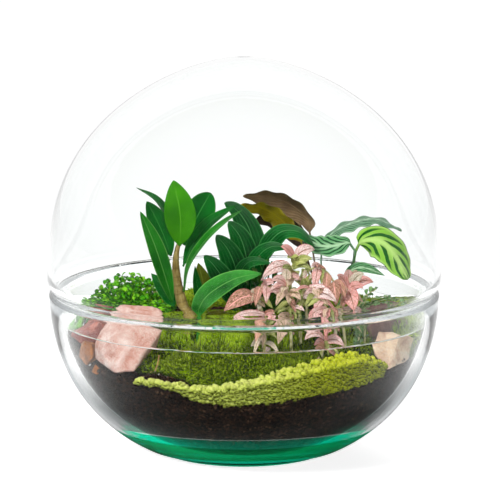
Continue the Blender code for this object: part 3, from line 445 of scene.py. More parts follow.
# %% Glass material
GLASS_TINT = (0.985, 0.995, 0.992, 1.0)
GLASS_BENDING = 1.48            # its index of refraction
FAINT_MIRROR = (0.06, 0.06, 0.06, 1.0)      # less glare where the wall is met square on
BASE_GREEN = (0.0, 0.25, 0.08, 1.0)
BASE_TOP = 0.0235               # the green reaches up to here
BASE_FADE = 0.0004              # and runs out over this height


def shadows_pass(tree, shader):
    """Mix the shader with a transparent one that only shadow and diffuse rays see."""
    path = add(tree, "LightPath").outputs
    clear = add(tree, "BsdfTransparent").outputs[0]
    indirect = maths(tree, "MAXIMUM", path["Is Shadow Ray"], path["Is Diffuse Ray"])
    choice = add(tree, "MixShader", Fac=indirect)
    tree.links.new(shader.outputs[0], choice.inputs[1])
    tree.links.new(clear, choice.inputs[2])
    tree.links.new(choice.outputs[0], tree.nodes["Material Output"].inputs["Surface"])


def glass(name, green_base):
    """Clear polished glass, with a green zone below BASE_TOP where asked for."""
    material, tree, shader = new_material(name, Base_Color=GLASS_TINT, Roughness=0.0, IOR=GLASS_BENDING,
                                          Transmission_Weight=1.0, Specular_Tint=FAINT_MIRROR)
    if green_base:
        height = add(tree, "SeparateXYZ", Vector=own_place(tree)).outputs["Z"]
        low = faded(tree, height, BASE_TOP + BASE_FADE, BASE_TOP)
        paint(tree, shader, mixed(tree, low, GLASS_TINT, BASE_GREEN))
    shadows_pass(tree, shader)
    return material


BOWL_GLASS = glass("bowl_glass", True)
DOME_GLASS = glass("dome_glass", False)

# %% [markdown]
# The profile runs from the middle of the foot outwards, up the flank, over the round rim and down inside.

# %% Make the bowl
foot = arc((bowl_outside(0.0) - FOOT_ROUNDING, FOOT_ROUNDING), FOOT_ROUNDING, -90, -40, 6)
flank = BOWL_OUTSIDE[BOWL_OUTSIDE[:, 1] > FLANK_START]
rim = arc(rim_middle, RIM_WALL / 2, 0, 180, 9)
floor_line = np.column_stack([np.linspace(0.0, BOWL_INSIDE[0, 0], 6), np.full(6, FLOOR_WALL)])
foot_line = np.column_stack([np.linspace(0.0, foot[0, 0], 5)[:-1], np.zeros(4)])
bowl_profile = np.vstack([foot_line, foot, flank, rim, BOWL_INSIDE[:0:-1], floor_line[::-1]])
points = turned(bowl_profile, AROUND)
bowl = mesh_piece("blown_bowl", points, closed_faces(points), BOWL_GLASS, "clear_glass", weld=True)
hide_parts("glass_bowl")

# %% [markdown]
# ## The glass dome
#
# The dome is one more turned profile: a tall cap that is fullest just above the bowl, a lip that turns in
# over the bowl's rim, and a short neck that hangs inside it and keeps the dome from sliding. The neck's
# edge is the lower of the two bright rings that cross the front of the globe.

# %% Make the dome
DOME_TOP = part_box("glass_dome")[1].z
NECK_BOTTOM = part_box("glass_dome")[0].z
DOME_WIDEST = 0.135
DOME_RADIUS = 0.1498
DOME_SHAPE = (2.4, 0.6)
DOME_WALL = 0.003
NECK_RADIUS = 0.141
NECK_TOP = 0.116
NECK_EDGE = 0.0012              # the neck rises by twice this before it turns out
LIP_OUTSIDE = [(0.1497, 0.1315), (0.1492, 0.1295)]     # (radius, height) on the way in over the rim
NECK_SHOULDER = (0.1414, 0.1190)
LIP_INSIDE = [(0.1425, 0.1255), (0.1458, 0.1300)]      # and on the way out again


def dome_curve(radius, rise, count):
    """From the top down: height = widest + rise s, radius = R (1 - s^p)^q, with s the sine of a falling angle."""
    power, root = DOME_SHAPE
    lift = np.sin(np.linspace(np.pi / 2, 0.0, count))
    curve = np.column_stack([radius * np.maximum(1 - lift ** power, 0.0) ** root, DOME_WIDEST + rise * lift])
    curve[0, 0] = 0.0
    return curve


def smooth_path(points, fractions):
    """Points and directions along a Catmull-Rom curve through the given points, at shares of its length."""
    points = np.asarray(points, dtype=float)
    ends = np.vstack([2 * points[0] - points[1], points, 2 * points[-1] - points[-2]])
    before, start, end, after = ends[:-3], ends[1:-2], ends[2:-1], ends[3:]
    t = np.linspace(0.0, 1.0, 25)[:-1, None, None]
    fine = 0.5 * (2 * start + (end - before) * t + (2 * before - 5 * start + 4 * end - after) * t ** 2
                  + (3 * start - before - 3 * end + after) * t ** 3)
    fine = np.vstack([fine.transpose(1, 0, 2).reshape(-1, points.shape[1]), points[-1:]])
    travelled = np.concatenate([[0.0], np.cumsum(np.linalg.norm(np.diff(fine, axis=0), axis=1))])
    wanted = np.asarray(fractions) * travelled[-1]
    headings = np.gradient(fine, travelled, axis=0)
    places = np.column_stack([np.interp(wanted, travelled, axis) for axis in fine.T])
    headings = np.column_stack([np.interp(wanted, travelled, axis) for axis in headings.T])
    return places, unit(headings)


rise = DOME_TOP - DOME_WIDEST
neck_inside = NECK_RADIUS - DOME_WALL
cap_outside = dome_curve(DOME_RADIUS, rise, 80)
cap_inside = dome_curve(DOME_RADIUS - DOME_WALL, rise - DOME_WALL, 80)
seat = arc(rim_middle, RIM_WALL / 2 + 2 * GAP, 100, 152, 7)
turn_in = smooth_path([cap_outside[-1], *LIP_OUTSIDE, seat[0]], np.linspace(0, 1, 12))[0]
neck_outside = smooth_path([seat[-1], NECK_SHOULDER, (NECK_RADIUS, NECK_TOP)], np.linspace(0, 1, 6))[0]
edge_middle = (NECK_RADIUS - DOME_WALL / 2, NECK_BOTTOM + DOME_WALL / 2)
neck_edge = arc(edge_middle, DOME_WALL / 2, 0, -180, 9)
turn_out = smooth_path([(neck_inside, NECK_TOP), (neck_inside, NECK_TOP + 2 * NECK_EDGE), *LIP_INSIDE,
                        cap_inside[-1]], np.linspace(0, 1, 14))[0]
dome_profile = np.vstack([cap_outside, turn_in[1:-1], seat, neck_outside[1:], neck_edge, turn_out,
                          cap_inside[-2::-1]])
points = turned(dome_profile, AROUND)
dome = mesh_piece("blown_dome", points, closed_faces(points), DOME_GLASS, "clear_glass", weld=True)
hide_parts("glass_dome")

# %% [markdown]
# ## Noise and small repeats
#
# Soil, moss and stone are rough at many scales at once. Their roughness comes from value noise: random
# numbers on a lattice, blended smoothly between its corners, and added up at finer and finer scales.
# Crumbs and shoots are one tiny closed shape each, which is turned, scaled and moved by arrays.


# %% Helpers for roughness and repeats
def noise(points, size, seed):
    """Value noise from -1 to 1: random numbers at lattice corners, blended by 3t^2 - 2t^3 between them."""
    table = np.random.default_rng(seed).uniform(-1, 1, 4096)
    cell = np.asarray(points, dtype=float) / size
    low = np.floor(cell).astype(np.int64)
    t = cell - low
    t = t * t * (3 - 2 * t)
    total = np.zeros(cell.shape[:-1])
    for corner in np.ndindex(2, 2, 2):
        spot = low + corner
        index = (spot[..., 0] * 73856093 ^ spot[..., 1] * 19349663 ^ spot[..., 2] * 83492791) & 4095
        total += table[index] * np.prod(np.where(corner, t, 1 - t), axis=-1)
    return total


def rough(points, size, seed, octaves=4):
    """Noise at several scales, each half as large and half as strong as the one before."""
    return sum(noise(points, size / 2 ** k, seed + k) / 2 ** k for k in range(octaves))


def random_turns(count):
    """Turns in all directions, as (count, 3, 3) arrays: the axes come from random pairs of directions."""
    first = unit(rng.normal(size=(count, 3)))
    second = unit(np.cross(first, rng.normal(size=(count, 3))))
    return np.stack([first, second, np.cross(first, second)], axis=1)


def repeated(points, faces, places, axes, sizes):
    """One small shape at many places: each copy is its points times (sizes) along (axes), plus its place."""
    points, places, sizes = np.asarray(points), np.asarray(places), np.asarray(sizes, dtype=float)
    sizes = np.broadcast_to(sizes[:, None] if sizes.ndim == 1 else sizes, (len(places), 3))
    copies = np.einsum("pk,nk,nkj->npj", points, sizes, axes) + places[:, None, :]
    shifts = np.arange(len(places)) * len(points)
    return copies.reshape(-1, 3), (np.asarray(faces)[None] + shifts[:, None, None]).reshape(-1, faces.shape[1])


def ball(rings, around):
    """A round shape of radius one as a closed grid of directions, poles at the ends of the Z axis."""
    height = np.cos(np.linspace(0, np.pi, rings))
    points = turned(np.column_stack([np.sqrt(np.maximum(1 - height ** 2, 0)), height]), around)
    return points.reshape(-1, 3), closed_faces(points)


def rounded_stone(seed, rings=5, around=6):
    """A small lumpy ball: radius one plus noise over its directions."""
    points, faces = ball(rings, around)
    return points * (1 + 0.3 * noise(points + 3.1, 0.9, seed)[:, None]), faces


def upright_axes(lean, twist):
    """Axes for shoots: the third points along lean, and the other two are square to it, turned by twist."""
    up = unit(lean)
    side = unit(np.cross(up, np.column_stack([np.cos(twist), np.sin(twist), np.zeros_like(twist)])))
    return np.stack([side, np.cross(up, side), up], axis=1)


print("noise from", noise(rng.random((1000, 3)), 0.2, 1).min().round(2))

# %% [markdown]
# ## Soil
#
# Potting soil is peat and crumbs of bark, nearly black when damp. It stands level at the back and is
# banked down to the front wall. The solid's own formula for the surface is repeated here, and everything
# that grows stands on it. The surface and the side against the glass are one grid of rings, roughened
# at every scale, and loose crumbs lie on top.

# %% Shape of the ground
SOIL_LEVEL = 0.090
SOIL_FALL = 0.032
SOIL_FALL_START = 0.030
SOIL_FALL_RUN = 0.100
MOUND_HEIGHT = 0.012
MOUND_RADIUS = 0.080
MOUND_Y = -0.020


def ground(x, y):
    """Height of the soil: level, less a fall to the front, plus a bell-shaped mound round the plants."""
    fall = np.clip((-np.asarray(y) - SOIL_FALL_START) / SOIL_FALL_RUN, 0.0, 1.0)
    mound = np.exp(-(np.asarray(x) ** 2 + (np.asarray(y) - MOUND_Y) ** 2) / MOUND_RADIUS ** 2)
    return SOIL_LEVEL - SOIL_FALL * fall + MOUND_HEIGHT * mound


# Soil banked against the glass under the pale moss: azimuths in degrees, heights in mm, radii in metres
BANKED_AT = (-150, -137, -129, -121, -112, -106, -94, -79, -68, -53, -42, -30, -15)
BANKED_UP = (0, 3, 5, 10, 10, 4, 2, 5, 7, 4, 4, 3, 0)
BANKED_FROM = 0.090
BANKED_OVER = 0.030


def banked(x, y):
    """How much higher the soil is at the front wall than the formula says, running out inwards."""
    turn = np.degrees(np.arctan2(y, x))
    t = np.clip((np.hypot(x, y) - BANKED_FROM) / BANKED_OVER, 0, 1)
    return np.interp(turn, BANKED_AT, BANKED_UP) * MM * t * t * (3 - 2 * t)


def wall_ring(angles, lift=0.0):
    """Radius and height where the soil, plus a lift, meets the glass: found by repeating the guess."""
    radius = np.full_like(angles, inner_radius(SOIL_LEVEL))
    for _ in range(8):
        x, y = radius * np.cos(angles), radius * np.sin(angles)
        z = ground(x, y) + banked(x, y) + lift
        radius = inner_radius(z) - 2 * GAP
    return radius, z


def soil_colour(tree, place, wet, dry):
    """Dark crumbs, lighter dry ones and a few pale fibres, from noises at three scales."""
    blotch = cloudy(tree, place, 150.0, 5.0, Roughness=0.75)
    grain = add(tree, "TexVoronoi", Vector=place, Scale=640.0)
    fleck = add(tree, "SeparateColor", Color=grain.outputs["Color"]).outputs[0]
    mix = weighted(tree, (blotch, 0.6), (fleck, 0.5))
    return ramp(tree, mix, (0.42, wet), (0.76, dry), (0.90, colour(100, 78, 60))), grain.outputs["Distance"]


def soil_material(name, wet, dry, strength):
    """Matte crumbs: the colours above and a bump from the cells and a fine noise."""
    material, tree, shader = new_material(name, Roughness=0.95, Specular_IOR_Level=0.06)
    place = own_place(tree)
    shade, cells = soil_colour(tree, place, wet, dry)
    paint(tree, shader, shade)
    height = maths(tree, "ADD", cells, times(tree, cloudy(tree, place, 900.0, 3.0), 0.5))
    bump(tree, shader, height, strength, 0.0006)
    return material


SOIL_FINISH = soil_material("damp_soil", colour(8, 4, 2), colour(50, 33, 24), 1.0)
CRUMB_FINISH = soil_material("soil_crumbs", colour(26, 18, 12), colour(92, 68, 52), 0.7)

# %% [markdown]
# The soil's rings run along the glass floor, up beside the wall and back over the surface to the axis.
# The surface is roughened up and down, and the side only a little, so that it stays clear of the glass.

# %% Make the soil
SOIL_AROUND = 360
FLOOR_RINGS = 3                 # of the flat underside,
SIDE_RINGS = 44                 # of the side against the glass,
TOP_RINGS = 62                  # and of the surface
soil_angles = round_angles(SOIL_AROUND)
edge_r, edge_z = wall_ring(soil_angles)
soil_floor = FLOOR_WALL + GAP
rings = [(np.zeros(SOIL_AROUND), np.full(SOIL_AROUND, soil_floor))]
bottom_r = inner_radius(soil_floor + 0.001) - 0.003
rings += [(np.full(SOIL_AROUND, bottom_r * share), np.full(SOIL_AROUND, soil_floor)) for share in (0.5, 1.0)]
for share in np.linspace(0.015, 0.985, SIDE_RINGS):
    z = soil_floor + share * (edge_z - soil_floor)
    rings.append((inner_radius(z) - 2 * GAP, z))
for share in np.linspace(0.995, 0.0, TOP_RINGS) ** 0.8:
    r = edge_r * share
    x, y = r * np.cos(soil_angles), r * np.sin(soil_angles)
    rings.append((r, ground(x, y) + banked(x, y)))
ring_r, ring_z = np.array([ring[0] for ring in rings]), np.array([ring[1] for ring in rings])
soil_points = np.dstack([ring_r * np.cos(soil_angles), ring_r * np.sin(soil_angles), ring_z])
crumbling = rough(soil_points, 0.006, 40)
on_top = np.arange(len(rings)) >= FLOOR_RINGS + SIDE_RINGS
soil_points[on_top, :, 2] += 0.0009 * (crumbling[on_top] - 1.2)
shrink = 1 - 0.004 * (1 + crumbling) * (~on_top)[:, None] * (ring_r > 0.02)
soil_points[..., :2] *= shrink[..., None]
soil_points[-1] = (0, 0, ground(0, 0) - 0.001)
soil = mesh_piece("banked_soil", soil_points, closed_faces(soil_points), SOIL_FINISH, "potting_soil", weld=True)
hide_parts("soil")

# %% [markdown]
# Loose crumbs are one lumpy ball, repeated at random places, turns and sizes. Most of them are small.

# %% Scatter the crumbs
CRUMBS = 5200


def scattered(count, azimuths, radii):
    """Random places on the ground between two azimuths and two radii, even in area, with their heights."""
    turn = np.radians(rng.uniform(*azimuths, count))
    edge = wall_ring(turn)[0] - 0.0012
    inner, outer = radii
    far = edge if outer is None else np.minimum(edge, outer)
    radius = np.sqrt(rng.uniform(0, 1, count) * (far ** 2 - inner ** 2) + inner ** 2)
    x, y = radius * np.cos(turn), radius * np.sin(turn)
    return np.column_stack([x, y, ground(x, y) + banked(x, y)])


crumb_places = scattered(CRUMBS, (0, 360), (0.0, None))
crumb_sizes = 0.0004 + 0.0013 * rng.random(CRUMBS) ** 3
crumb_places[:, 2] += 0.2 * crumb_sizes
crumb_shape, crumb_faces = rounded_stone(5, 4, 5)
points, faces = repeated(crumb_shape, crumb_faces, crumb_places, random_turns(CRUMBS),
                         crumb_sizes[:, None] * rng.uniform(0.6, 1.2, (CRUMBS, 3)))
mesh_piece("loose_crumbs", points, faces, CRUMB_FINISH, "potting_soil")

# %% [markdown]
# ## Moss
#
# The green moss is a carpet of single shoots two to four millimetres long, with longer strands in front.
# A humped cushion gives the carpet its swells, and thousands of shoots stand on it: each is a three-sided
# spike, bent near its tip. A number on each shoot, from dark root to bright tip and from shoot to shoot,
# drives its colour. The dark at the root is partly the stems' own colour and partly painted shade deep in
# the carpet.


# %% Moss helpers
def swell(places, size, seed):
    """Rounded humps from 0 to 1: the root of two crossed sine waves, askew to the axes."""
    x, y = places[..., 0], places[..., 1]
    a = np.abs(np.sin(np.pi * (x + 0.37 * y) / size + seed))
    b = np.abs(np.sin(np.pi * (y - 0.41 * x) / size + 2.1 * seed))
    return np.sqrt(a * b)


def shoot(bend=0.45):
    """A spike of height one on a three-sided base, its waist pushed out and its tip bent over by bend."""
    turn = np.radians([90, 210, 330])
    base = np.column_stack([0.6 * np.cos(turn), 0.6 * np.sin(turn), np.full(3, -0.15)])
    waist = np.column_stack([np.cos(turn) + 0.3 * bend, np.sin(turn), np.full(3, 0.45)])
    points = np.vstack([base, waist, [[2.2 * bend, 0.0, 1.0]]])
    faces = np.array([(0, 2, 1), (0, 1, 4), (0, 4, 3), (1, 2, 5), (1, 5, 4), (2, 0, 3), (2, 3, 5),
                      (3, 4, 6), (4, 5, 6), (5, 3, 6)])
    return points, faces


def moss_material(name, root, leaf, tip):
    """Colour up the shoot from root to tip, shifted shoot by shoot and in patches over the bank."""
    material, tree, shader = new_material(name, Roughness=0.85, Specular_IOR_Level=0.12,
                                          Sheen_Weight=0.05, Sheen_Roughness=0.5)
    place = own_place(tree)
    shift = weighted(tree, (stored(tree, "own_shade"), 0.35), (cloudy(tree, place, 45.0, 3.0), 0.6))
    # painted shade: the shoots darken towards the root, partly their own colour and partly the shade deep in the
    # carpet
    value = maths(tree, "ADD", times(tree, stored(tree, "up_shoot"), 0.62),
                  maths(tree, "SUBTRACT", shift, 0.36))
    paint(tree, shader, ramp(tree, value, (0.0, root), (0.45, leaf), (0.95, tip)))
    bump(tree, shader, cloudy(tree, place, 1400.0, 2.0), 0.5, 0.0003)
    return material


def bank(azimuths, reach, height, hump, grid, seed, edge=0.0026):
    """A cushion on the soil as a grid of points: ground plus a pillow that thins out at its edges.

    The pillow is the root of four times the share of the way in, up to one, so its edges are round.
    """
    around, across = grid
    inner, outer = reach
    turn, share = np.meshgrid(np.radians(np.linspace(*azimuths, around)), np.linspace(0, 1, across),
                              indexing="ij")
    ends = np.minimum(np.linspace(0, 1, around), np.linspace(1, 0, around))[:, None]
    pillow = np.sqrt(np.clip(share * 4, 0, 1) * np.clip(ends * 8, 0, 1))
    rim = wall_ring(turn, height)[0] if outer is None else np.full_like(turn, outer)
    if outer is not None:
        pillow = pillow * np.sqrt(np.clip((1 - share) * 4, 0, 1))
    radius = inner + share * (rim - inner)
    top = np.dstack([radius * np.cos(turn), radius * np.sin(turn), np.zeros_like(turn)])
    bumps = swell(top, 0.016, seed) * hump
    low = ground(top[..., 0], top[..., 1]) + banked(top[..., 0], top[..., 1])
    top[..., 2] = low + edge + (height - edge - hump + bumps) * pillow
    return top, low


def drawn_in(points, limit):
    """The points, moved towards the axis where they lie further out than the limit."""
    points[..., :2] *= np.minimum(1, limit / np.hypot(points[..., 0], points[..., 1]))[..., None]
    return points


def inside_glass(points, room=0.0006):
    """The points, drawn in where they would enter the bowl's wall or the dome's neck."""
    neck = np.where(points[:, 2] > NECK_BOTTOM - room, NECK_RADIUS - DOME_WALL, 1.0)
    return drawn_in(points, np.minimum(inner_radius(points[:, 2]), neck) - room)


def cushion(name, top, low, material, slot, inset=0.0012, free=0.0008):
    """The closed body under the shoots: the top grid less an inset, free of the wall, down into the soil."""
    body = top.copy()
    body[..., 2] -= inset
    body = drawn_in(body, inner_radius(body[..., 2]) - free)
    bottom = body.copy()
    bottom[..., 2] = np.minimum(low - 0.001, body[..., 2] - 0.0005)
    bottom = drawn_in(bottom, inner_radius(bottom[..., 2]) - free)
    rows, columns = top.shape[:2]
    loop = np.concatenate([body, bottom[:, ::-1]], axis=1)
    ends = [np.concatenate([row[:columns], row[columns:][::-1]]) for row in (loop[0], loop[-1])]
    faces = [grid_faces(rows, 2 * columns, True)]
    points = [loop.reshape(-1, 3)]
    for end in ends:
        start = sum(len(part) for part in points)
        points.append(end)
        faces.append(grid_faces(2, columns) + start)
    points = np.vstack(points)
    first = outward(loop, faces[0])
    if first is faces[0]:                       # the caps look the way that the loop's faces look
        caps = [faces[1][:, ::-1], faces[2]]
    else:
        caps = [faces[1], faces[2][:, ::-1]]
    # the bed counts as the low part of the shoots or heads and takes their dark colours: painted shade under them
    height = 0.15 + 0.2 * rng.random(len(points))
    return mesh_piece(name, points, np.vstack([first] + caps), material, slot, weld=True,
                      up_shoot=height, own_shade=rng.random(len(points)))


def carpet(name, top, count, size, material, slot, lean=0.5):
    """Shoots all over a bank: random places on its grid, leaning out at random, height and width by size."""
    rows, columns = top.shape[:2]
    row, column = rng.uniform(0, rows - 1.001, count), rng.uniform(0, columns - 1.001, count)
    i, j = row.astype(int), column.astype(int)
    a, b = (row - i)[:, None], (column - j)[:, None]
    places = (top[i, j] * (1 - a) * (1 - b) + top[i + 1, j] * a * (1 - b) + top[i, j + 1] * (1 - a) * b
              + top[i + 1, j + 1] * a * b)
    across = unit(np.cross(top[i + 1, j] - top[i, j], top[i, j + 1] - top[i, j]))
    across *= np.sign(across[:, 2:] + 1e-9)
    places[:, 2] -= 0.0014
    long, wide = size
    inside = np.hypot(places[:, 0], places[:, 1]) < inner_radius(places[:, 2] + 0.002) - 0.0016
    places, across = places[inside], across[inside]
    count = len(places)
    direction = unit(across + lean * rng.normal(size=(count, 3)) * (1, 1, 0.3))
    axes = upright_axes(direction, rng.uniform(0, 2 * np.pi, count))
    heights = long * rng.uniform(0.6, 1.3, count)
    room = inner_radius(places[:, 2] + heights) - 0.0008 - np.hypot(places[:, 0], places[:, 1])
    heights = np.minimum(heights, np.maximum(room, 0.0008))
    widths = wide * rng.uniform(0.7, 1.3, count)
    shape, shape_faces = shoot()
    points, faces = repeated(shape, shape_faces, places, axes, np.column_stack([widths, widths, heights]))
    up = np.tile(np.clip(shape[:, 2], 0, 1), count)
    own = np.repeat(rng.random(count), len(shape))
    return mesh_piece(name, inside_glass(points), faces, material, slot, up_shoot=up, own_shade=own)


GREEN_MOSS = moss_material("green_moss", colour(40, 54, 6), colour(130, 164, 14), colour(196, 216, 56))
# a darker copy of the green moss, painted shade: for the beds under the shoots, and for the strands low on the
# front bank, which are darker in themselves too
SHADED_MOSS = moss_material("shaded_moss", colour(10, 15, 2), colour(58, 78, 8), colour(146, 168, 40))
OLIVE_MOSS = moss_material("olive_moss", colour(50, 48, 12), colour(112, 116, 34), colour(160, 158, 60))

# %% [markdown]
# Green moss lies in front between the plants and the pale moss, low down round the front and the side, and
# round the back wall. Each bank is a bed with shoots on it, and longer dark strands hang over the front.
# The beds are drawn dark, painted shade under the shoots, and the strands are darker in themselves and by
# painted shade low on the bank.

# %% Make the moss banks
front_top, front_low = bank((-121, -49), (0.040, 0.1145), 0.016, 0.004, (110, 60), 1.3)
front_bed = cushion("front_moss_bed", front_top, front_low, GREEN_MOSS, "green_moss")
carpet("front_moss", front_top, 14000, (0.0034, 0.00042), GREEN_MOSS, "green_moss")
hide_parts("moss_front")
wide_top, wide_low = bank((-154, -12), (0.020, 0.117), 0.007, 0.004, (150, 70), 5.3, edge=0.002)
cushion("wide_moss_bed", wide_top, wide_low, SHADED_MOSS, "green_moss")
carpet("wide_moss", wide_top, 13000, (0.0036, 0.00042), GREEN_MOSS, "green_moss", lean=0.6)
carpet("stringy_moss", front_top[:, 30:], 4600, (0.0075, 0.00042), SHADED_MOSS, "green_moss", lean=1.1)
carpet("stringy_moss_low", wide_top[:, 42:], 2600, (0.0060, 0.00042), SHADED_MOSS, "green_moss", lean=1.1)
side_top, side_low = bank((-27, 10), (0.112, None), 0.013, 0.003, (50, 24), 3.3)
cushion("side_moss_bed", side_top, side_low, SHADED_MOSS, "green_moss")
carpet("side_moss", side_top, 1700, (0.0036, 0.00042), GREEN_MOSS, "green_moss")
back_top, back_low = bank((2, 152), (0.083, None), 0.009, 0.003, (150, 40), 4.1)
back_bed = cushion("back_moss_bed", back_top, back_low, GREEN_MOSS, "green_moss")
carpet("back_moss", back_top, 9000, (0.0034, 0.00045), GREEN_MOSS, "green_moss")
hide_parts("moss_back")

# %% [markdown]
# The cushion by the dracaena's foot is another moss, olive and knobbly. Its dome is a grid of rings that
# stand on the ground, and short shoots cover it.

# %% Make the olive cushion
TUFT_CENTRE = (-0.020, -0.049)
TUFT_RADIUS = 0.009
TUFT_HEIGHT = 0.018
TUFT_AROUND = 48
tuft_turn = round_angles(TUFT_AROUND)
tuft_share = np.sin(np.linspace(0.02, 1, 16) * np.pi / 2)[::-1, None]
wobble = 1 + 0.10 * np.sin(3 * tuft_turn + 2.0) + 0 * tuft_share
tuft_x = TUFT_CENTRE[0] + TUFT_RADIUS * tuft_share * wobble * np.cos(tuft_turn)
tuft_y = TUFT_CENTRE[1] + TUFT_RADIUS * tuft_share * wobble * np.sin(tuft_turn)
tuft_top = np.dstack([tuft_x, tuft_y, np.zeros_like(tuft_x)])
knobs = 0.85 + 0.15 * swell(tuft_top, 0.007, 2.0)
tuft_top[..., 2] = ground(tuft_x, tuft_y) + TUFT_HEIGHT * np.sqrt(1 - (tuft_share * 0.98) ** 2.2) * knobs
tuft_foot = tuft_top[:1].copy()
tuft_foot[..., 2] = ground(tuft_x[:1], tuft_y[:1]) - 0.001
tuft_base = np.broadcast_to([*TUFT_CENTRE, float(ground(*TUFT_CENTRE)) - 0.001], tuft_foot.shape)
tuft_peak = np.broadcast_to(tuft_top[-1].mean(axis=0), tuft_foot.shape)
tuft_rings = np.concatenate([tuft_base, tuft_foot, tuft_top, tuft_peak])
tuft_count = len(tuft_rings) * TUFT_AROUND
# the cushion's body takes the dark low colours of its shoots: painted shade under them
tuft = mesh_piece("olive_cushion", tuft_rings, closed_faces(tuft_rings), OLIVE_MOSS, "olive_moss", weld=True,
                  up_shoot=np.full(tuft_count, 0.25), own_shade=rng.random(tuft_count))
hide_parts("moss_tuft_olive")
carpet("olive_shoots", tuft_top, 1500, (0.0026, 0.0005), OLIVE_MOSS, "olive_moss", lean=0.6)

# %% [markdown]
# ## Reindeer moss
#
# Preserved reindeer moss is a lichen: springy heads of fine branches that close into rounded lumps a few
# millimetres across. A ridge of it lies between the green moss and the glass. Nearly three thousand lumpy
# heads stand on a bed, pale at their tips and darker in the gaps, yellower towards the right. The dark in
# the gaps is painted shade: each head is drawn darker low down, and so is the bed.


# %% Reindeer moss finish
def lichen_material():
    """Pale lichen: darker low in each head, a painted shade, warmer to the right, with a fine branching bump."""
    material, tree, shader = new_material("reindeer_moss", Roughness=0.9, Specular_IOR_Level=0.1)
    height = stored(tree, "up_shoot")
    place = own_place(tree)
    across = add(tree, "SeparateXYZ", Vector=place).outputs["X"]
    right = faded(tree, across, 0.005, 0.060)
    pale = ramp(tree, height, (0.1, colour(62, 70, 4)), (0.45, colour(184, 198, 84)), (0.9, colour(212, 218, 122)))
    warm = ramp(tree, height, (0.1, colour(50, 56, 0)), (0.45, colour(166, 178, 26)), (0.9, colour(196, 202, 56)))
    base = mixed(tree, right, pale, warm)
    shade = weighted(tree, (stored(tree, "own_shade"), 0.5), (cloudy(tree, place, 700.0, 3.0), 0.9))
    light = ramp(tree, shade, (0.25, colour(150, 152, 130)), (0.7, colour(255, 255, 250)))
    paint(tree, shader, mixed(tree, 1.0, base, light, "MULTIPLY"))
    cells = add(tree, "TexVoronoi", Vector=place, Scale=1100.0).outputs["Distance"]
    bump(tree, shader, cells, 0.7, 0.0004)
    return material


LICHEN = lichen_material()

# %% [markdown]
# Where the ridge is high, the heads cover a bed. Where it runs out to the left, they lie singly on the soil.
# Three in five are pressed against the glass, because that is the face that shows.

# %% Make the reindeer moss
HEADS = 2700
RIDGE_AT = (-126, -121, -112, -106, -94, -79, -68, -60, -53, -46, -40)    # azimuths in degrees
RIDGE_FACE = (1.5, 2.5, 4, 9, 14, 17, 19, 20, 20, 13, 6)                 # height of the moss's face, mm
RIDGE_WIDE = (2, 3, 4, 6, 11, 15, 16, 17, 17, 14, 8)                     # and its depth to the glass, mm
RIDGE_ROWS, RIDGE_COLUMNS = 130, 34
BED_FROM = 18                   # the row from which the heads grow on a bed and not singly
ridge_turn, ridge_share = np.meshgrid(np.radians(np.linspace(RIDGE_AT[0], RIDGE_AT[-1], RIDGE_ROWS)),
                                      np.linspace(0, 1, RIDGE_COLUMNS), indexing="ij")
ridge_face = np.interp(np.degrees(ridge_turn), RIDGE_AT, RIDGE_FACE) * MM
ridge_wide = np.interp(np.degrees(ridge_turn), RIDGE_AT, RIDGE_WIDE) * MM
ridge_r = wall_ring(ridge_turn, ridge_face)[0] - (1 - ridge_share) * ridge_wide
ridge_x, ridge_y = ridge_r * np.cos(ridge_turn), ridge_r * np.sin(ridge_turn)
ridge_low = ground(ridge_x, ridge_y) + banked(ridge_x, ridge_y)
ridge_top = np.dstack([ridge_x, ridge_y, ridge_low + ridge_face * np.sqrt(np.clip(ridge_share * 3, 0.02, 1))])
ridge_top[..., 2] += 0.002 * swell(ridge_top, 0.011, 2.6)
ridge = cushion("reindeer_moss_bed", ridge_top[BED_FROM:], ridge_low[BED_FROM:], LICHEN, "reindeer_moss",
                inset=0.0036, free=0.003)
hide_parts("reindeer_moss")

share = np.cumsum((ridge_face + ridge_wide)[:, 0])            # more heads where the ridge is larger
row = np.interp(rng.uniform(share[0], share[-2], HEADS), share, np.arange(RIDGE_ROWS))
at_wall = np.arange(HEADS) % 5 > 1                           # three heads in five are on the face
last = RIDGE_COLUMNS - 1
i, j = row.astype(int), np.where(at_wall, last, rng.integers(0, last, HEADS))
places = ridge_top[i, j] + (row - i)[:, None] * (ridge_top[i + 1, j] - ridge_top[i, j])
face_height = np.interp(np.degrees(np.arctan2(places[:, 1], places[:, 0])), RIDGE_AT, RIDGE_FACE) * MM
places[:, 2] -= np.where(at_wall, rng.random(HEADS) * face_height, rng.uniform(0, 0.003, HEADS))
sizes = rng.uniform(0.0013, 0.0026, HEADS)
reach = inner_radius(places[:, 2]) - 0.0005 - 1.3 * sizes
radius = np.hypot(places[:, 0], places[:, 1])
wanted = np.where(at_wall, reach, np.minimum(radius, reach))
places[:, :2] *= (wanted / radius)[:, None]
head_shape, head_faces = rounded_stone(9, 5, 7)
points, faces = repeated(head_shape, head_faces, places, random_turns(HEADS),
                         sizes[:, None] * rng.uniform(0.65, 1.35, (HEADS, 3)))
points = inside_glass(points)
# height in each head, from its foot to its top: low parts get the dark colours, painted shade between the heads
lift = (points[:, 2] - np.repeat(places[:, 2] - sizes, len(head_shape))) / np.repeat(2 * sizes, len(head_shape))
mesh_piece("reindeer_moss_heads", points, faces, LICHEN, "reindeer_moss", up_shoot=np.clip(lift, 0, 1),
           own_shade=np.repeat(rng.random(HEADS), len(head_shape)))

# %% [markdown]
# ## Stones
#
# The stones are broken pieces of rose quartz, red sandstone and amber-coloured flint. Each is worked out
# from its solid: along any direction from its middle, the surface is where the nearest face plane is met.
# A soft minimum rounds the edges a little, and noise chips them. It is one closed grid of directions.


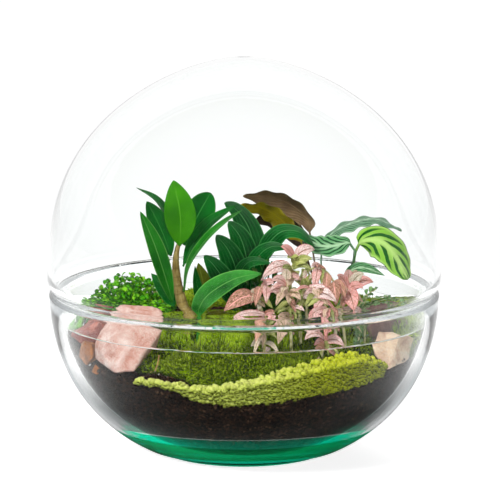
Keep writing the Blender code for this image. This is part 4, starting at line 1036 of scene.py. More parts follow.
# %% Stone helpers
def stone_planes(node):
    """A convex node's middle, and for each of its planes the outward normal and the distance to the middle."""
    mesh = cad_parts[node].data
    corners = np.array([vertex.co for vertex in mesh.vertices])
    middle = corners.mean(axis=0)
    triangles = corners[np.array([list(face.vertices)[:3] for face in mesh.polygons])]
    normals = unit(np.cross(triangles[:, 1] - triangles[:, 0], triangles[:, 2] - triangles[:, 0]))
    distances = np.einsum("ij,ij->i", normals, triangles[:, 0] - middle)
    normals *= np.sign(distances)[:, None]
    planes = np.unique(np.column_stack([normals, np.abs(distances) / MM]).round(2), axis=0)
    return middle, planes[:, :3], planes[:, 3] * MM


def stone(name, node, material, slot, seed, chips=0.05, sharpness=90, grid=(80, 110)):
    """Radius along direction d: the soft minimum of distance / (normal . d) over the planes, less noise."""
    middle, normals, distances = stone_planes(node)
    directions, faces = ball(*grid)
    towards = np.maximum(directions @ normals.T, 0) / distances
    nearest = towards.max(axis=1)
    radius = ((towards / nearest[:, None]) ** sharpness).sum(axis=1) ** (-1 / sharpness) / nearest
    spots = middle + directions * radius[:, None]
    chipped = 0.5 + 0.5 * np.clip(rough(spots, 0.014, seed, 5), -1, 1)
    ledges = np.abs(noise(spots, 0.009, seed + 20))
    radius *= 0.995 - chips * chipped - 0.5 * chips * ledges
    points = middle + directions * radius[:, None]
    piece = mesh_piece(name, points, faces, material, slot, weld=True, edge_wear=np.clip(chipped, 0, 1))
    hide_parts(node)


def stone_material(name, pale, middle, deep, roughness=0.75, veins=0.5, shade_from_x=None):
    """Blotches of three tones, thin pale veins, fine grain, darker in the deepest chips, and beyond a line in x
    darker and redder: painted shade on the faces that turn from the light.
    """
    material, tree, shader = new_material(name, Roughness=roughness, Specular_IOR_Level=0.15)
    place = own_place(tree)
    blotch = cloudy(tree, place, 75.0, 6.0, Roughness=0.65, Distortion=0.6)
    base = ramp(tree, blotch, (0.30, deep), (0.50, middle), (0.68, pale))
    wave = cloudy(tree, place, 110.0, 3.0, Distortion=1.5)
    line = maths(tree, "ABSOLUTE", maths(tree, "SUBTRACT", wave, 0.5))
    line = faded(tree, line, 0.018, 0.0)
    base = mixed(tree, times(tree, line, veins), base, colour(238, 226, 214))
    grain = cloudy(tree, place, 900.0, 4.0, Roughness=0.8)
    speckle = ramp(tree, grain, (0.30, colour(120, 120, 120)), (0.70, colour(230, 230, 230)))
    base = mixed(tree, 0.5, base, speckle, "OVERLAY")
    # painted shade: faces of the rock beyond this x, turned away from the key lamp at the left, are drawn darker
    # and redder
    if shade_from_x is not None:
        across = add(tree, "SeparateXYZ", Vector=place).outputs["X"]
        base = mixed(tree, faded(tree, across, shade_from_x - 0.0005, shade_from_x + 0.0005, 0.2), base, deep)
    # darker where a chip cuts deepest into the stone
    chip_darkening = faded(tree, stored(tree, "edge_wear"), 0.55, 0.95, 0.55)
    paint(tree, shader, mixed(tree, chip_darkening, base, deep))
    bump(tree, shader, weighted(tree, (blotch, 1.5), (grain, 0.4)), 0.8, 0.0012)
    return material


# the rose rock's right faces get painted shade
ROSE = stone_material("rose_quartz", colour(255, 238, 230), colour(232, 194, 182), colour(192, 124, 104),
                      veins=0.8, shade_from_x=-0.096)
BUFF = stone_material("buff_quartz", colour(255, 240, 216), colour(240, 212, 182), colour(196, 150, 126),
                      veins=0.6)
RED = stone_material("red_sandstone", colour(206, 132, 114), colour(160, 76, 62), colour(96, 40, 32), veins=0.2)
AMBER = stone_material("amber_flint", colour(228, 170, 88), colour(180, 108, 34), colour(92, 46, 14),
                       roughness=0.4, veins=0.1)
BROWN = stone_material("brown_stone", colour(160, 126, 118), colour(124, 92, 86), colour(76, 54, 48), veins=0.1)

# %% [markdown]
# The rose and buff rocks are crisp, and the red and brown ones are worn: sharpness sets how hard edges are.

# %% Make the stones
stone("rose_rock", "stone_pink_left", ROSE, "pink_stone", 61, chips=0.03, sharpness=160)
stone("buff_rock", "stone_tan_right", BUFF, "pink_stone", 62, chips=0.06, sharpness=140)
stone("red_rock", "stone_red_left", RED, "red_stone", 63, chips=0.07, sharpness=60)
stone("amber_rock", "stone_amber_left", AMBER, "amber_stone", 64, chips=0.06, grid=(50, 70))
stone("amber_chip", "stone_amber_small", AMBER, "amber_stone", 65, chips=0.06, grid=(36, 50))
stone("brown_rock", "stone_brown_right", BROWN, "brown_stone", 66, chips=0.09, sharpness=50)

# %% [markdown]
# ## Leaves
#
# A leaf is a flat ellipse carried along its midrib. Its width rises and falls as a power of a sine, its
# edges lift or drop, and ridges between the side veins quilt it. The cross-section starts round, as the
# leaf stalk, and flattens into the blade. Each point also stores where it is in the leaf: how far along,
# how far across, and whether it is on the underside, and the veins and stripes are drawn from that.


# %% Leaf shape
def leaf_width(along, belly, point):
    """Share of the full width: sin(pi t^belly)^point, broadest early or late by belly, drawn out by point."""
    return np.sin(np.pi * np.clip(along, 0, 1) ** belly) ** point


def rooted(foot, *points):
    """A stalk's line in mm that starts in its hole at foot (x, y) and leaves it upright."""
    x, y = foot
    soil = float(ground(x * MM, y * MM)) / MM
    return [(x, y, soil - 7.0), (x, y, soil + 8.0), *points]


def blade(spine, width, face, fold=0.25, belly=0.85, point=0.85, stalk=0.0, stalk_width=2.2, wave=0.0,
          ribs=14, quilt=0.00012, thick=0.0006, stations=46, around=26, slant=0.5):
    """A closed leaf along a spine in mm: cross-sections (share, lens) from an angle, share = cos a.

    Heights over the spine: fold |share|^1.3 half-widths, a sine ripple growing with share^2, a rib wave
    of |sin| between side veins, and a groove along the midrib.
    """
    bare = 10 if stalk > 0 else 0
    marks = np.concatenate([np.linspace(0, stalk, bare, endpoint=False), np.linspace(stalk, 1, stations)])
    places, headings = smooth_path(np.array(spine, dtype=float) * MM, marks)
    along = np.clip((marks - stalk) / (1 - stalk), 0, 1)
    full = np.maximum(width * MM * leaf_width(along, belly, point), 0.00025)
    full = np.where(along < 0.12, np.maximum(full, stalk_width * MM), full)
    depth = thick + (stalk_width * MM * 0.8 - thick) * np.clip(1 - along * 7, 0, 1)
    depth = np.minimum(depth, full)
    face_from, face_to = unit(np.asarray(face, dtype=float))
    facing = face_from + (face_to - face_from) * marks[:, None]
    side = unit(np.cross(headings, facing))
    normal = np.cross(side, headings)
    angle = round_angles(around)
    share = np.sign(np.cos(angle)) * np.abs(np.cos(angle)) ** 1.25
    lens = np.sin(angle) * (1 - 0.5 * np.abs(share)) / 2
    open_blade = np.clip(along * 8, 0, 1)[:, None]
    half = full[:, None] / 2
    a, s = along[:, None], share[None, :]
    rise = fold * np.abs(s) ** 1.3 * half
    rise = rise + wave * np.sin(9 * np.pi * a + 0.6 * np.sign(s)) * s ** 2
    phase = ribs * (a - slant * np.abs(s) * full[:, None] / (width * MM) * 0.35)
    rise = rise + quilt * np.abs(np.sin(np.pi * phase)) * np.clip(1.2 - np.abs(s), 0, 1) * open_blade
    rise = rise - 0.00025 * np.exp(-(s / 0.07) ** 2) * open_blade
    narrow = 1 - 0.4 * fold ** 2
    points = (places[:, None, :] + side[:, None, :] * (s * half * narrow)[..., None]
              + normal[:, None, :] * (rise + lens[None, :] * depth[:, None])[..., None])
    tip = points[-1:].mean(axis=1, keepdims=True).repeat(around, axis=1)
    root = points[:1].mean(axis=1, keepdims=True).repeat(around, axis=1)
    points = np.concatenate([root, points, tip])
    below = np.where(np.sin(angle) < -0.01, 1.0, 0.0)
    where = np.dstack([np.broadcast_to(part, (len(marks), around)) for part in (a, s, below)])
    return points, np.concatenate([where[:1], where, where[-1:]])


def leaf_piece(name, node, material, slot, **shape):
    """A fine leaf that stands for a node's plain blade."""
    points, where = blade(**shape)
    piece = mesh_piece(name, points, closed_faces(points), material, slot, leaf_place=where.reshape(-1, 3))
    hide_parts(node)


# %% [markdown]
# The finishes of the leaves share their steps: read the place in the leaf, draw the midrib and the side
# veins as thin lines, shade the blade, and turn to another colour on the underside. A leaf is waxy, so
# the shader gets a thin clear coat.


# %% Leaf finishes
def leaf_axes(tree):
    """The stored place in the leaf: whole, how far along, how far from the midrib, and 1 on the underside."""
    spot = stored(tree, "leaf_place", "Vector")
    along, across, under = add(tree, "SeparateXYZ", Vector=spot).outputs
    return spot, along, maths(tree, "ABSOLUTE", across), under


def band(tree, value, start, end):
    """A number that runs smoothly from 0 to 1 as the value goes from start to end."""
    return faded(tree, value, start, end, kind="SMOOTHSTEP")


def vein_phase(tree, along, away, ribs, slant):
    """Counts the side veins: it grows by one from vein to vein, and veins lean forward by slant."""
    return times(tree, maths(tree, "SUBTRACT", along, times(tree, away, slant)), ribs)


def stripe(tree, phase, width):
    """One thin line where the phase is a whole number, and nothing between."""
    part = maths(tree, "ABSOLUTE", maths(tree, "SUBTRACT", maths(tree, "FRACT", phase), 0.5))
    return band(tree, part, 0.5 - width, 0.5)


def leaf_finish(name, blade_colours, midrib, underside, vein=None, edge=None, ribs=18, slant=0.35,
                vein_share=0.35, roughness=0.4, midrib_width=0.05, coat=0.08, lines=0):
    """Blade colours (dark, light) in soft patches; midrib, side veins (or lines along), edge, underside."""
    material, tree, shader = new_material(name, Roughness=roughness, Coat_Weight=coat, Coat_Roughness=0.2,
                                          Specular_IOR_Level=0.14)
    place = own_place(tree)
    _, along, away, under = leaf_axes(tree)
    streak = cloudy(tree, place, 420.0, 3.0)
    tone = weighted(tree, (cloudy(tree, place, 55.0, 3.0), 0.75), (streak, 0.25))
    base = ramp(tree, tone, (0.32, blade_colours[0]), (0.66, blade_colours[1]))
    phase = times(tree, away, lines) if lines else vein_phase(tree, along, away, ribs, slant)
    if vein is not None:
        base = mixed(tree, times(tree, stripe(tree, phase, 0.16), vein_share), base, vein)
    if edge is not None:
        base = mixed(tree, band(tree, away, 0.86, 0.97), base, edge)
    base = mixed(tree, band(tree, away, midrib_width, midrib_width * 0.4), base, midrib)
    below = mixed(tree, band(tree, away, 0.07, 0.03), underside, midrib)
    paint(tree, shader, mixed(tree, under, base, below))
    bump(tree, shader, weighted(tree, (stripe(tree, phase, 0.3), -0.6), (streak, 0.4)), 0.35, 0.0004)
    return material


BRIGHT = leaf_finish("bright_dracaena_leaf", (colour(34, 108, 4), colour(66, 150, 14)), colour(84, 160, 34),
                     colour(70, 130, 34), vein=colour(86, 164, 30), vein_share=0.2, ribs=26)
DARK = leaf_finish("dark_dracaena_leaf", (colour(0, 62, 12), colour(12, 104, 26)), colour(60, 140, 60),
                   colour(34, 100, 34), vein=colour(26, 116, 40), vein_share=0.2, ribs=26,
                   edge=colour(50, 128, 44), midrib_width=0.04)
RIBBED = leaf_finish("ribbed_dracaena_leaf", (colour(4, 82, 12), colour(34, 126, 26)), colour(110, 172, 84),
                     colour(44, 112, 36), vein=colour(60, 146, 50), vein_share=0.25, ribs=26,
                     edge=colour(104, 164, 76))
STRAP = leaf_finish("strap_leaf", (colour(0, 52, 14), colour(6, 96, 30)), colour(88, 156, 88),
                    colour(26, 88, 32), vein=colour(52, 136, 62), vein_share=0.45, lines=3.4,
                    edge=colour(60, 138, 64), midrib_width=0.035, roughness=0.34, coat=0.12)
# its light patches are painted reflections on the glossy blade
LIT = leaf_finish("lit_strap_leaf", (colour(4, 72, 14), colour(56, 148, 48)), colour(110, 176, 84),
                  colour(34, 100, 30), vein=colour(84, 164, 72), vein_share=0.3, ribs=18, roughness=0.3,
                  coat=0.3, edge=colour(96, 168, 70), midrib_width=0.035)
OLIVE = leaf_finish("olive_young_leaf", (colour(74, 88, 14), colour(120, 130, 34)), colour(136, 148, 60),
                    colour(104, 108, 36))

# %% [markdown]
# The striped plant has two faces. Above, a pale lime blade with dark green blotches like the barbs of a
# feather; below, purple-brown. The far leaves show their undersides, so what meets the eye there is
# brown felt with an olive glow where light comes through.


# %% Feathered finishes
def feathered(name, pale, lime, dark, underside, under_light, ribs=7.0, slant=0.55, blotch=(0.10, 0.78)):
    """Dark barbs: a sine of the vein phase, cut to a pointed shape that starts off the midrib."""
    material, tree, shader = new_material(name, Roughness=0.45, Coat_Weight=0.06, Coat_Roughness=0.3,
                                          Specular_IOR_Level=0.2)
    place = own_place(tree)
    _, along, away, under = leaf_axes(tree)
    uneven = cloudy(tree, place, 160.0, 2.0)
    jitter = times(tree, maths(tree, "SUBTRACT", uneven, 0.5), 0.25)
    phase = maths(tree, "ADD", vein_phase(tree, along, away, ribs, slant), jitter)
    wave = maths(tree, "SINE", times(tree, phase, 2 * np.pi))
    reach = times(tree, band(tree, away, blotch[0], blotch[0] + 0.10),
                  band(tree, away, blotch[1] + 0.08, blotch[1] - 0.10))
    barb = times(tree, band(tree, wave, -0.15, 0.25), reach)
    glow = ramp(tree, away, (0.0, pale), (0.45, lime), (0.8, lime), (1.0, pale))
    vein = times(tree, stripe(tree, times(tree, phase, 2.0), 0.14), 0.4)
    top = mixed(tree, barb, mixed(tree, vein, glow, pale), dark)
    top = mixed(tree, band(tree, away, 0.06, 0.02), top, pale)
    top = mixed(tree, band(tree, away, 0.93, 0.99), top, dark)
    below = ramp(tree, cloudy(tree, place, 70.0, 4.0), (0.35, underside), (0.68, under_light))
    below = mixed(tree, times(tree, stripe(tree, phase, 0.12), 0.35), below, under_light)
    below = mixed(tree, band(tree, away, 0.06, 0.02), below, under_light)
    paint(tree, shader, mixed(tree, under, top, below))
    bump(tree, shader, weighted(tree, (wave, 0.4), (uneven, 0.6)), 0.5, 0.0006)
    return material


ZEBRA = feathered("zebra_leaf", colour(180, 216, 122), colour(132, 188, 62), colour(16, 84, 16),
                  colour(96, 66, 44), colour(150, 120, 76), ribs=3.8, blotch=(0.12, 0.80))
MINT = feathered("mint_leaf", colour(170, 206, 164), colour(96, 156, 100), colour(16, 76, 36),
                 colour(96, 62, 32), colour(150, 112, 64), ribs=5.0, blotch=(0.08, 0.85))
STRIPED = feathered("far_striped_leaf", colour(168, 202, 168), colour(120, 168, 128), colour(20, 70, 40),
                    colour(92, 58, 30), colour(140, 100, 56), ribs=9.0, blotch=(0.0, 0.9))
BROWN_BACK = feathered("brown_backed_leaf", colour(150, 190, 150), colour(92, 150, 100), colour(34, 84, 50),
                       colour(104, 84, 62), colour(138, 114, 84), ribs=9.0)
OLIVE_BACK = feathered("olive_backed_leaf", colour(160, 190, 120), colour(110, 150, 70), colour(50, 90, 40),
                       colour(130, 118, 18), colour(184, 168, 34), ribs=9.0)
PURPLE_BACK = feathered("purple_backed_leaf", colour(150, 190, 150), colour(92, 150, 100), colour(34, 84, 50),
                        colour(56, 40, 34), colour(100, 78, 56), ribs=9.0)

# %% [markdown]
# The dracaena has a tan cane with leaf scars, a crown of short broad leaves and a few young leaves lower
# down. The cane is a circle carried along a smooth path. Its radius dips at every scar.

# %% Dracaena
CANE_SCARS = 13
CANE_RINGS = 150
CANE_AROUND = 28


def scarred(marks, scars):
    """Close to 1 at each scar and 0 between: |cos|^24 of a phase that grows a little slower further up."""
    return np.abs(np.cos(np.pi * scars * marks ** 0.9)) ** 24


def tube(path, radii, around, rings, scars=0, depth=0.0):
    """Circles along a smooth path in mm: radius interpolated, and dipped by a share of it at each scar."""
    marks = np.linspace(0, 1, rings)
    places, headings = smooth_path(np.array(path, dtype=float) * MM, marks)
    radius = np.interp(marks, np.linspace(0, 1, len(radii)), radii) * MM
    radius = radius * (1 - depth * scarred(marks, scars))
    side = unit(np.cross(headings, (0.3, 1.0, 0.1)))
    normal = np.cross(side, headings)
    angle = round_angles(around)
    circle = np.cos(angle)[None, :, None] * side[:, None] + np.sin(angle)[None, :, None] * normal[:, None]
    points = places[:, None] + radius[:, None, None] * circle
    foot, top = (np.broadcast_to(place, points[:1].shape) for place in (places[0], places[-1]))
    return np.concatenate([foot, points, top])


cane_bark, tree, shader = new_material("cane_bark", Roughness=0.6, Specular_IOR_Level=0.35)
place = own_place(tree)
stretch = add(tree, "Mapping", Vector=place, Scale=(1.0, 1.0, 0.25)).outputs[0]
mix = weighted(tree, (cloudy(tree, stretch, 900.0, 4.0), 0.5), (cloudy(tree, place, 130.0, 4.0), 0.5))
bark = ramp(tree, mix, (0.34, colour(112, 92, 42)), (0.52, colour(158, 138, 82)), (0.70, colour(186, 170, 120)))
bark = mixed(tree, times(tree, stored(tree, "scar"), 0.55), bark, colour(96, 78, 40))
paint(tree, shader, bark)
bump(tree, shader, mix, 0.4, 0.0004)

CANE_LINE = rooted((-41, -40), (-46, -40, 118), (-50, -40, 136), (-51, -40, 150), (-50, -40, 160),
                   (-48, -40, 166))
points = tube(CANE_LINE, (6.4, 5.6, 4.4, 3.9, 3.3, 2.4, 1.5), CANE_AROUND, CANE_RINGS, CANE_SCARS, 0.06)
marks = np.concatenate([[0], np.linspace(0, 1, CANE_RINGS), [1]])
cane = mesh_piece("dracaena_cane", points, closed_faces(points), cane_bark, "tan_stem", weld=True,
                  scar=np.repeat(scarred(marks, CANE_SCARS), CANE_AROUND))
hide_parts("dracaena_stem")

DRACAENA_LEAVES = {
    "upright": (BRIGHT, dict(
        spine=[(-48, -44, 164), (-47, -49, 180), (-48, -52, 195), (-52, -51, 214)], width=24,
        face=((0.1, -1, 0.1), (-0.1, -1, 0.2)), fold=0.22, belly=1.0, point=0.75)),
    "back": (DARK, dict(
        spine=[(-45, -36, 163), (-39, -32, 176), (-32, -27, 189), (-25, -20, 200)], width=23,
        face=((0.2, -1, 0.1), (0.2, -1, 0.3)), fold=0.2, belly=1.2, point=0.6)),
    "edge": (DARK, dict(
        spine=[(-52.5, -37.5, 168), (-58, -33, 184), (-66, -31, 196), (-80, -34, 206)], width=13,
        face=((0.9, -0.3, 0.3), (0.3, -0.3, 1)), fold=0.3, belly=0.8, point=0.9)),
    "left": (DARK, dict(
        spine=[(-54.5, -42, 156), (-60, -44, 172), (-66, -46, 186), (-72, -49, 198)], width=17,
        face=((0.2, -1, 0.1), (0.2, -1, 0.2)), fold=0.25, belly=1.0, point=0.7)),
    "low_left": (RIBBED, dict(
        spine=[(-53.5, -46.5, 122), (-60, -54, 147), (-67, -60, 170), (-76, -66, 193)], width=14,
        face=((0.5, -0.9, 0), (0.4, -0.9, 0)), fold=0.25, belly=0.95, point=0.7)),
    "right": (RIBBED, dict(
        spine=[(-45, -46.5, 130), (-40, -54, 152), (-28, -60, 171), (-15, -63, 184), (-1, -63, 194)],
        width=12, face=((-0.7, -0.35, 0.4), (-0.6, -0.35, 0.7)), fold=0.25, belly=0.9, point=0.7)),
    "right_dark": (DARK, dict(
        spine=[(-45.4, -42, 148), (-38, -42, 165), (-25, -42, 181), (-6, -41, 194)], width=13,
        face=((-0.6, -0.6, 0.4), (-0.5, -0.6, 0.7)), fold=0.25, belly=0.9, point=0.8)),
    "sucker": (DARK, dict(
        spine=rooted((-31, -31), (-34, -31, 124), (-36, -30, 136), (-37, -29, 146)), width=8,
        face=((0.3, -1, 0), (0.3, -1, 0)), stalk=0.32, fold=0.25)),
    "low_back": (DARK, dict(
        spine=[(-52.6, -36.4, 115), (-57, -33, 124), (-63, -28, 132), (-70, -22, 139)], width=12,
        face=((0.2, -1, 0.4), (0.2, -1, 0.4)), fold=0.2)),
}
for name, (finish, shape) in DRACAENA_LEAVES.items():
    slot = "bright_leaf" if finish is BRIGHT else "dark_leaf"
    leaf_piece("fine_dracaena_leaf_" + name, "dracaena_leaf_" + name, finish, slot, ribs=26, **shape)

# %% [markdown]
# Beside it grows a plant with long strap leaves, dark and glossy, each with one pale line for its
# midrib. They arch to both sides, and their edges droop.

# %% Strap plant
STRAP_LEAVES = {
    "tall": (STRAP, dict(
        spine=rooted((5, -10), (8, -9, 128), (8, -9, 150), (4, -10, 170), (-5, -13, 185), (-15, -18, 192)),
        width=24, face=((0.2, -1, 0), (0.5, -0.7, 0.7)), stalk=0.28, fold=-0.15, belly=1.0, point=0.6)),
    "tall_mid": (STRAP, dict(
        spine=rooted((1, -15), (3, -16, 128), (2, -18, 148), (-3, -20, 166), (-12, -24, 179)),
        width=22, face=((0.2, -1, 0), (0.4, -0.8, 0.5)), stalk=0.3, fold=-0.15, belly=1.0, point=0.6)),
    "left_mid": (STRAP, dict(
        spine=rooted((-3, -20), (-2, -23, 122), (-6, -27, 142), (-12, -30, 158), (-21, -32, 170)),
        width=20, face=((0.2, -1, 0), (0.4, -0.9, 0.4)), stalk=0.32, fold=-0.15, belly=1.0, point=0.6)),
    "left_low": (STRAP, dict(
        spine=rooted((-7, -24), (-8, -30, 118), (-14, -35, 134), (-22, -38, 147), (-30, -40, 156)),
        width=18, face=((0.2, -1, 0), (0.4, -0.9, 0.4)), stalk=0.3, fold=-0.15, belly=1.0, point=0.65)),
    "right_high": (STRAP, dict(
        spine=rooted((8, -16), (11, -15, 130), (16, -16, 156), (28, -18, 170), (42, -22, 170), (53, -26, 160)),
        width=16, face=((-0.3, -1, 0.1), (0.3, -0.5, 0.9)), stalk=0.42, fold=-0.15, belly=0.9, point=0.7)),
    "right_low": (STRAP, dict(
        spine=rooted((4, -21), (6, -24, 128), (9, -28, 150), (20, -33, 161), (34, -38, 161)),
        width=15, face=((-0.3, -1, 0.1), (0.2, -0.6, 0.9)), stalk=0.42, fold=-0.15, belly=0.9, point=0.7)),
    "front": (STRAP, dict(
        spine=rooted((-1, -26), (-3, -33, 126), (-2, -40, 144), (6, -47, 153), (20, -51, 152)),
        width=12, face=((-0.3, -1, 0), (0.2, -0.6, 0.9)), stalk=0.45, fold=-0.15, belly=0.9, point=0.75)),
    "lit": (LIT, dict(
        spine=rooted((-34, -53), (-33, -59, 119), (-25, -65, 132), (-6, -70, 144), (13, -72, 148)),
        width=18, face=((-0.5, -0.8, 0.2), (-0.1, -0.75, 0.7)), stalk=0.2, fold=0.15, belly=0.9, point=0.75)),
    "young": (OLIVE, dict(
        spine=rooted((-27, -9), (-30, -7, 124), (-35, -4, 144)), width=16,
        face=((0, -1, 0.1), (0, -1, 0.2)), stalk=0.25, fold=0.3)),
}
STRAP_SLOTS = {"lit": "bright_leaf", "young": "olive_leaf"}
for name, (finish, shape) in STRAP_LEAVES.items():
    leaf_piece("fine_strap_leaf_" + name, "strap_leaf_" + name, finish, STRAP_SLOTS.get(name, "dark_leaf"),
               stalk_width=3.0, **shape)

# %% [markdown]
# The striped plant stands at the back right. Its leaves sit on thin stalks, wave at their edges, and
# bend over so that some show their tops and some their backs.

# %% Striped plant
STRIPED_LEAVES = {
    "back_high": (BROWN_BACK, "purple_underleaf", dict(
        spine=rooted((60, 10), (56, 24, 130), (51, 32, 160), (49, 35, 171), (36, 40, 182), (18, 43, 188),
                     (-1, 43, 188)),
        width=25, face=((0.5, 0.6, 0.3), (0, 0.75, 0.7)), stalk=0.54, fold=-0.3, belly=0.9, point=0.7,
        wave=0.0008)),
    "back_mid": (OLIVE_BACK, "purple_underleaf", dict(
        spine=rooted((56, 14), (50, 24, 130), (44, 29, 155), (35, 31, 165), (24, 32, 175), (12, 32, 181),
                     (-3, 29, 183)),
        width=24, face=((0.5, 0.6, 0.3), (0.1, 0.6, 0.8)), stalk=0.54, fold=-0.15, belly=0.9, point=0.6,
        wave=0.0010)),
    "back_low": (PURPLE_BACK, "purple_underleaf", dict(
        spine=rooted((60, 19), (52, 40, 130), (43, 52, 154), (33, 57, 163), (20, 60, 168), (8, 60, 165)),
        width=22, face=((0.5, 0.7, 0.3), (0, 0.8, 0.5)), stalk=0.58, fold=-0.15, belly=0.9, point=0.6)),
    "mint": (MINT, "zebra_leaf", dict(
        spine=rooted((71, -1), (78, -5, 130), (84, -8, 152), (79, -11, 160), (68, -12, 158), (57, -10, 158),
                     (44, -5, 164)),
        width=22, face=((-0.5, -0.6, 0.1), (0.2, -0.55, 0.9)), stalk=0.66, fold=0.12, belly=0.85, point=0.6,
        wave=0.0008)),
    "far": (STRIPED, "zebra_leaf", dict(
        spine=rooted((66, 12), (60, 18, 130), (60, 21, 150), (68, 23, 162), (84, 24, 170), (102, 22, 173),
                     (121, 16, 165)),
        width=20, face=((-0.5, -0.2, 0.3), (0.3, -0.2, 1)), stalk=0.50, fold=-0.15, belly=0.9, point=0.6,
        wave=0.0010)),
    "zebra": (ZEBRA, "zebra_leaf", dict(
        spine=rooted((74, 5), (82, 4, 130), (85, 3, 152), (91, 0, 160), (102, -6, 161), (112, -13, 154),
                     (119, -19, 142), (123, -22, 134)),
        width=29, face=((-0.2, -0.8, 0.3), (0.55, -0.8, 0.4)), stalk=0.56, fold=-0.15, belly=0.85, point=0.5,
        wave=0.0006)),
    "small": (MINT, "zebra_leaf", dict(
        spine=rooted((73, -5), (76, -9, 126), (80, -12, 138), (90, -16, 142), (106, -21, 137)), width=11,
        face=((-0.3, -0.8, 0.2), (0.2, -0.5, 0.9)), stalk=0.55, fold=0.12)),
}
for name, (finish, slot, shape) in STRIPED_LEAVES.items():
    leaf_piece("fine_calathea_leaf_" + name, "calathea_leaf_" + name, finish, slot, ribs=9, quilt=0.0004, **shape)

# %% [markdown]
# ## Nerve plants
#
# The pink plants in front are nerve plants: thin pale stems, each with one or two dozen soft oval leaves.
# The leaves differ from pink with brown nets, through cream, to olive and rust with pink nets. Many small
# leaves are made at once: every leaf is the same grid of stations and angles, and its base, tip, width
# and facing are rows of arrays.


# %% Many small leaves at once
def small_leaves(base, tip, width, facing, arch=0.2, fold=0.2, belly=0.8, point=0.85, thick=0.0005,
                 stations=13, around=14, quilt=0.00018, ribs=6):
    """Leaves along parabolas: place = (1-t) base + t tip + 4 t (1-t) arch length up; a lens across."""
    base, tip, facing = (np.asarray(part, dtype=float) for part in (base, tip, facing))
    t = np.linspace(0, 1, stations)[None, :, None]
    length = np.linalg.norm(tip - base, axis=1)[:, None, None]
    up = np.array([0.0, -0.25, 1.0])
    places = (1 - t) * base[:, None] + t * tip[:, None] + 4 * t * (1 - t) * arch * length * up
    heading = unit((tip - base)[:, None] + 4 * (1 - 2 * t) * arch * length * up)
    side = unit(np.cross(heading, facing[:, None]))
    normal = np.cross(side, heading)
    angle = round_angles(around)
    share = (np.sign(np.cos(angle)) * np.abs(np.cos(angle)) ** 1.2)[None, None, :]
    lens = np.sin(angle) * (1 - 0.4 * np.abs(share)) / 2
    thinnest = 0.0007 * (1 - t) + 0.0001
    full = np.maximum(np.asarray(width)[:, None, None] * leaf_width(t, belly, point), thinnest)
    rise = fold * np.abs(share) ** 1.4 * full / 2
    rise = rise + quilt * np.abs(np.sin(np.pi * ribs * (t - 0.25 * np.abs(share)))) * (1 - 0.7 * np.abs(share))
    points = (places[:, :, None] + side[:, :, None] * (share * full / 2)[..., None]
              + normal[:, :, None] * (rise + lens * np.minimum(thick, full))[..., None])
    count = len(base)
    ends = [row.mean(axis=2, keepdims=True).repeat(around, axis=2) for row in (points[:, :1], points[:, -1:])]
    points = np.concatenate([ends[0], points, ends[1]], axis=1)
    rows = stations + 2
    along = np.concatenate([[0], np.linspace(0, 1, stations), [1]])
    where = np.zeros((count, rows, around, 3))
    where[..., 0] = along[None, :, None]
    where[..., 1] = share
    where[..., 2] = np.sin(angle) < -0.01
    every = (closed_faces(points[0]) + (np.arange(count) * rows * around)[:, None, None]).reshape(-1, 4)
    return points.reshape(-1, 3), every, where.reshape(-1, 3), rows * around


def tubes(paths, radii, around=8, rings=26):
    """Several stems in one mesh: circles along each path in mm, between a foot radius and a top radius."""
    parts, faces, start = [], [], 0
    for path, ends in zip(paths, radii):
        points = tube(path, ends, around, rings)
        parts.append(points.reshape(-1, 3))
        faces.append(closed_faces(points) + start)
        start += len(parts[-1])
    return np.vstack(parts), np.vstack(faces)


# %% [markdown]
# The net of a nerve leaf is a pattern of cells, stretched along the leaf and shifted from leaf to leaf, so
# that no two nets are alike. The side veins and the midrib are drawn over it.

# %% Nerve plant finish
KINDS = {"pink": (0, 0, 0), "rust": (1, 0, 0), "cream": (0, 1, 0), "olive": (0, 0, 1)}


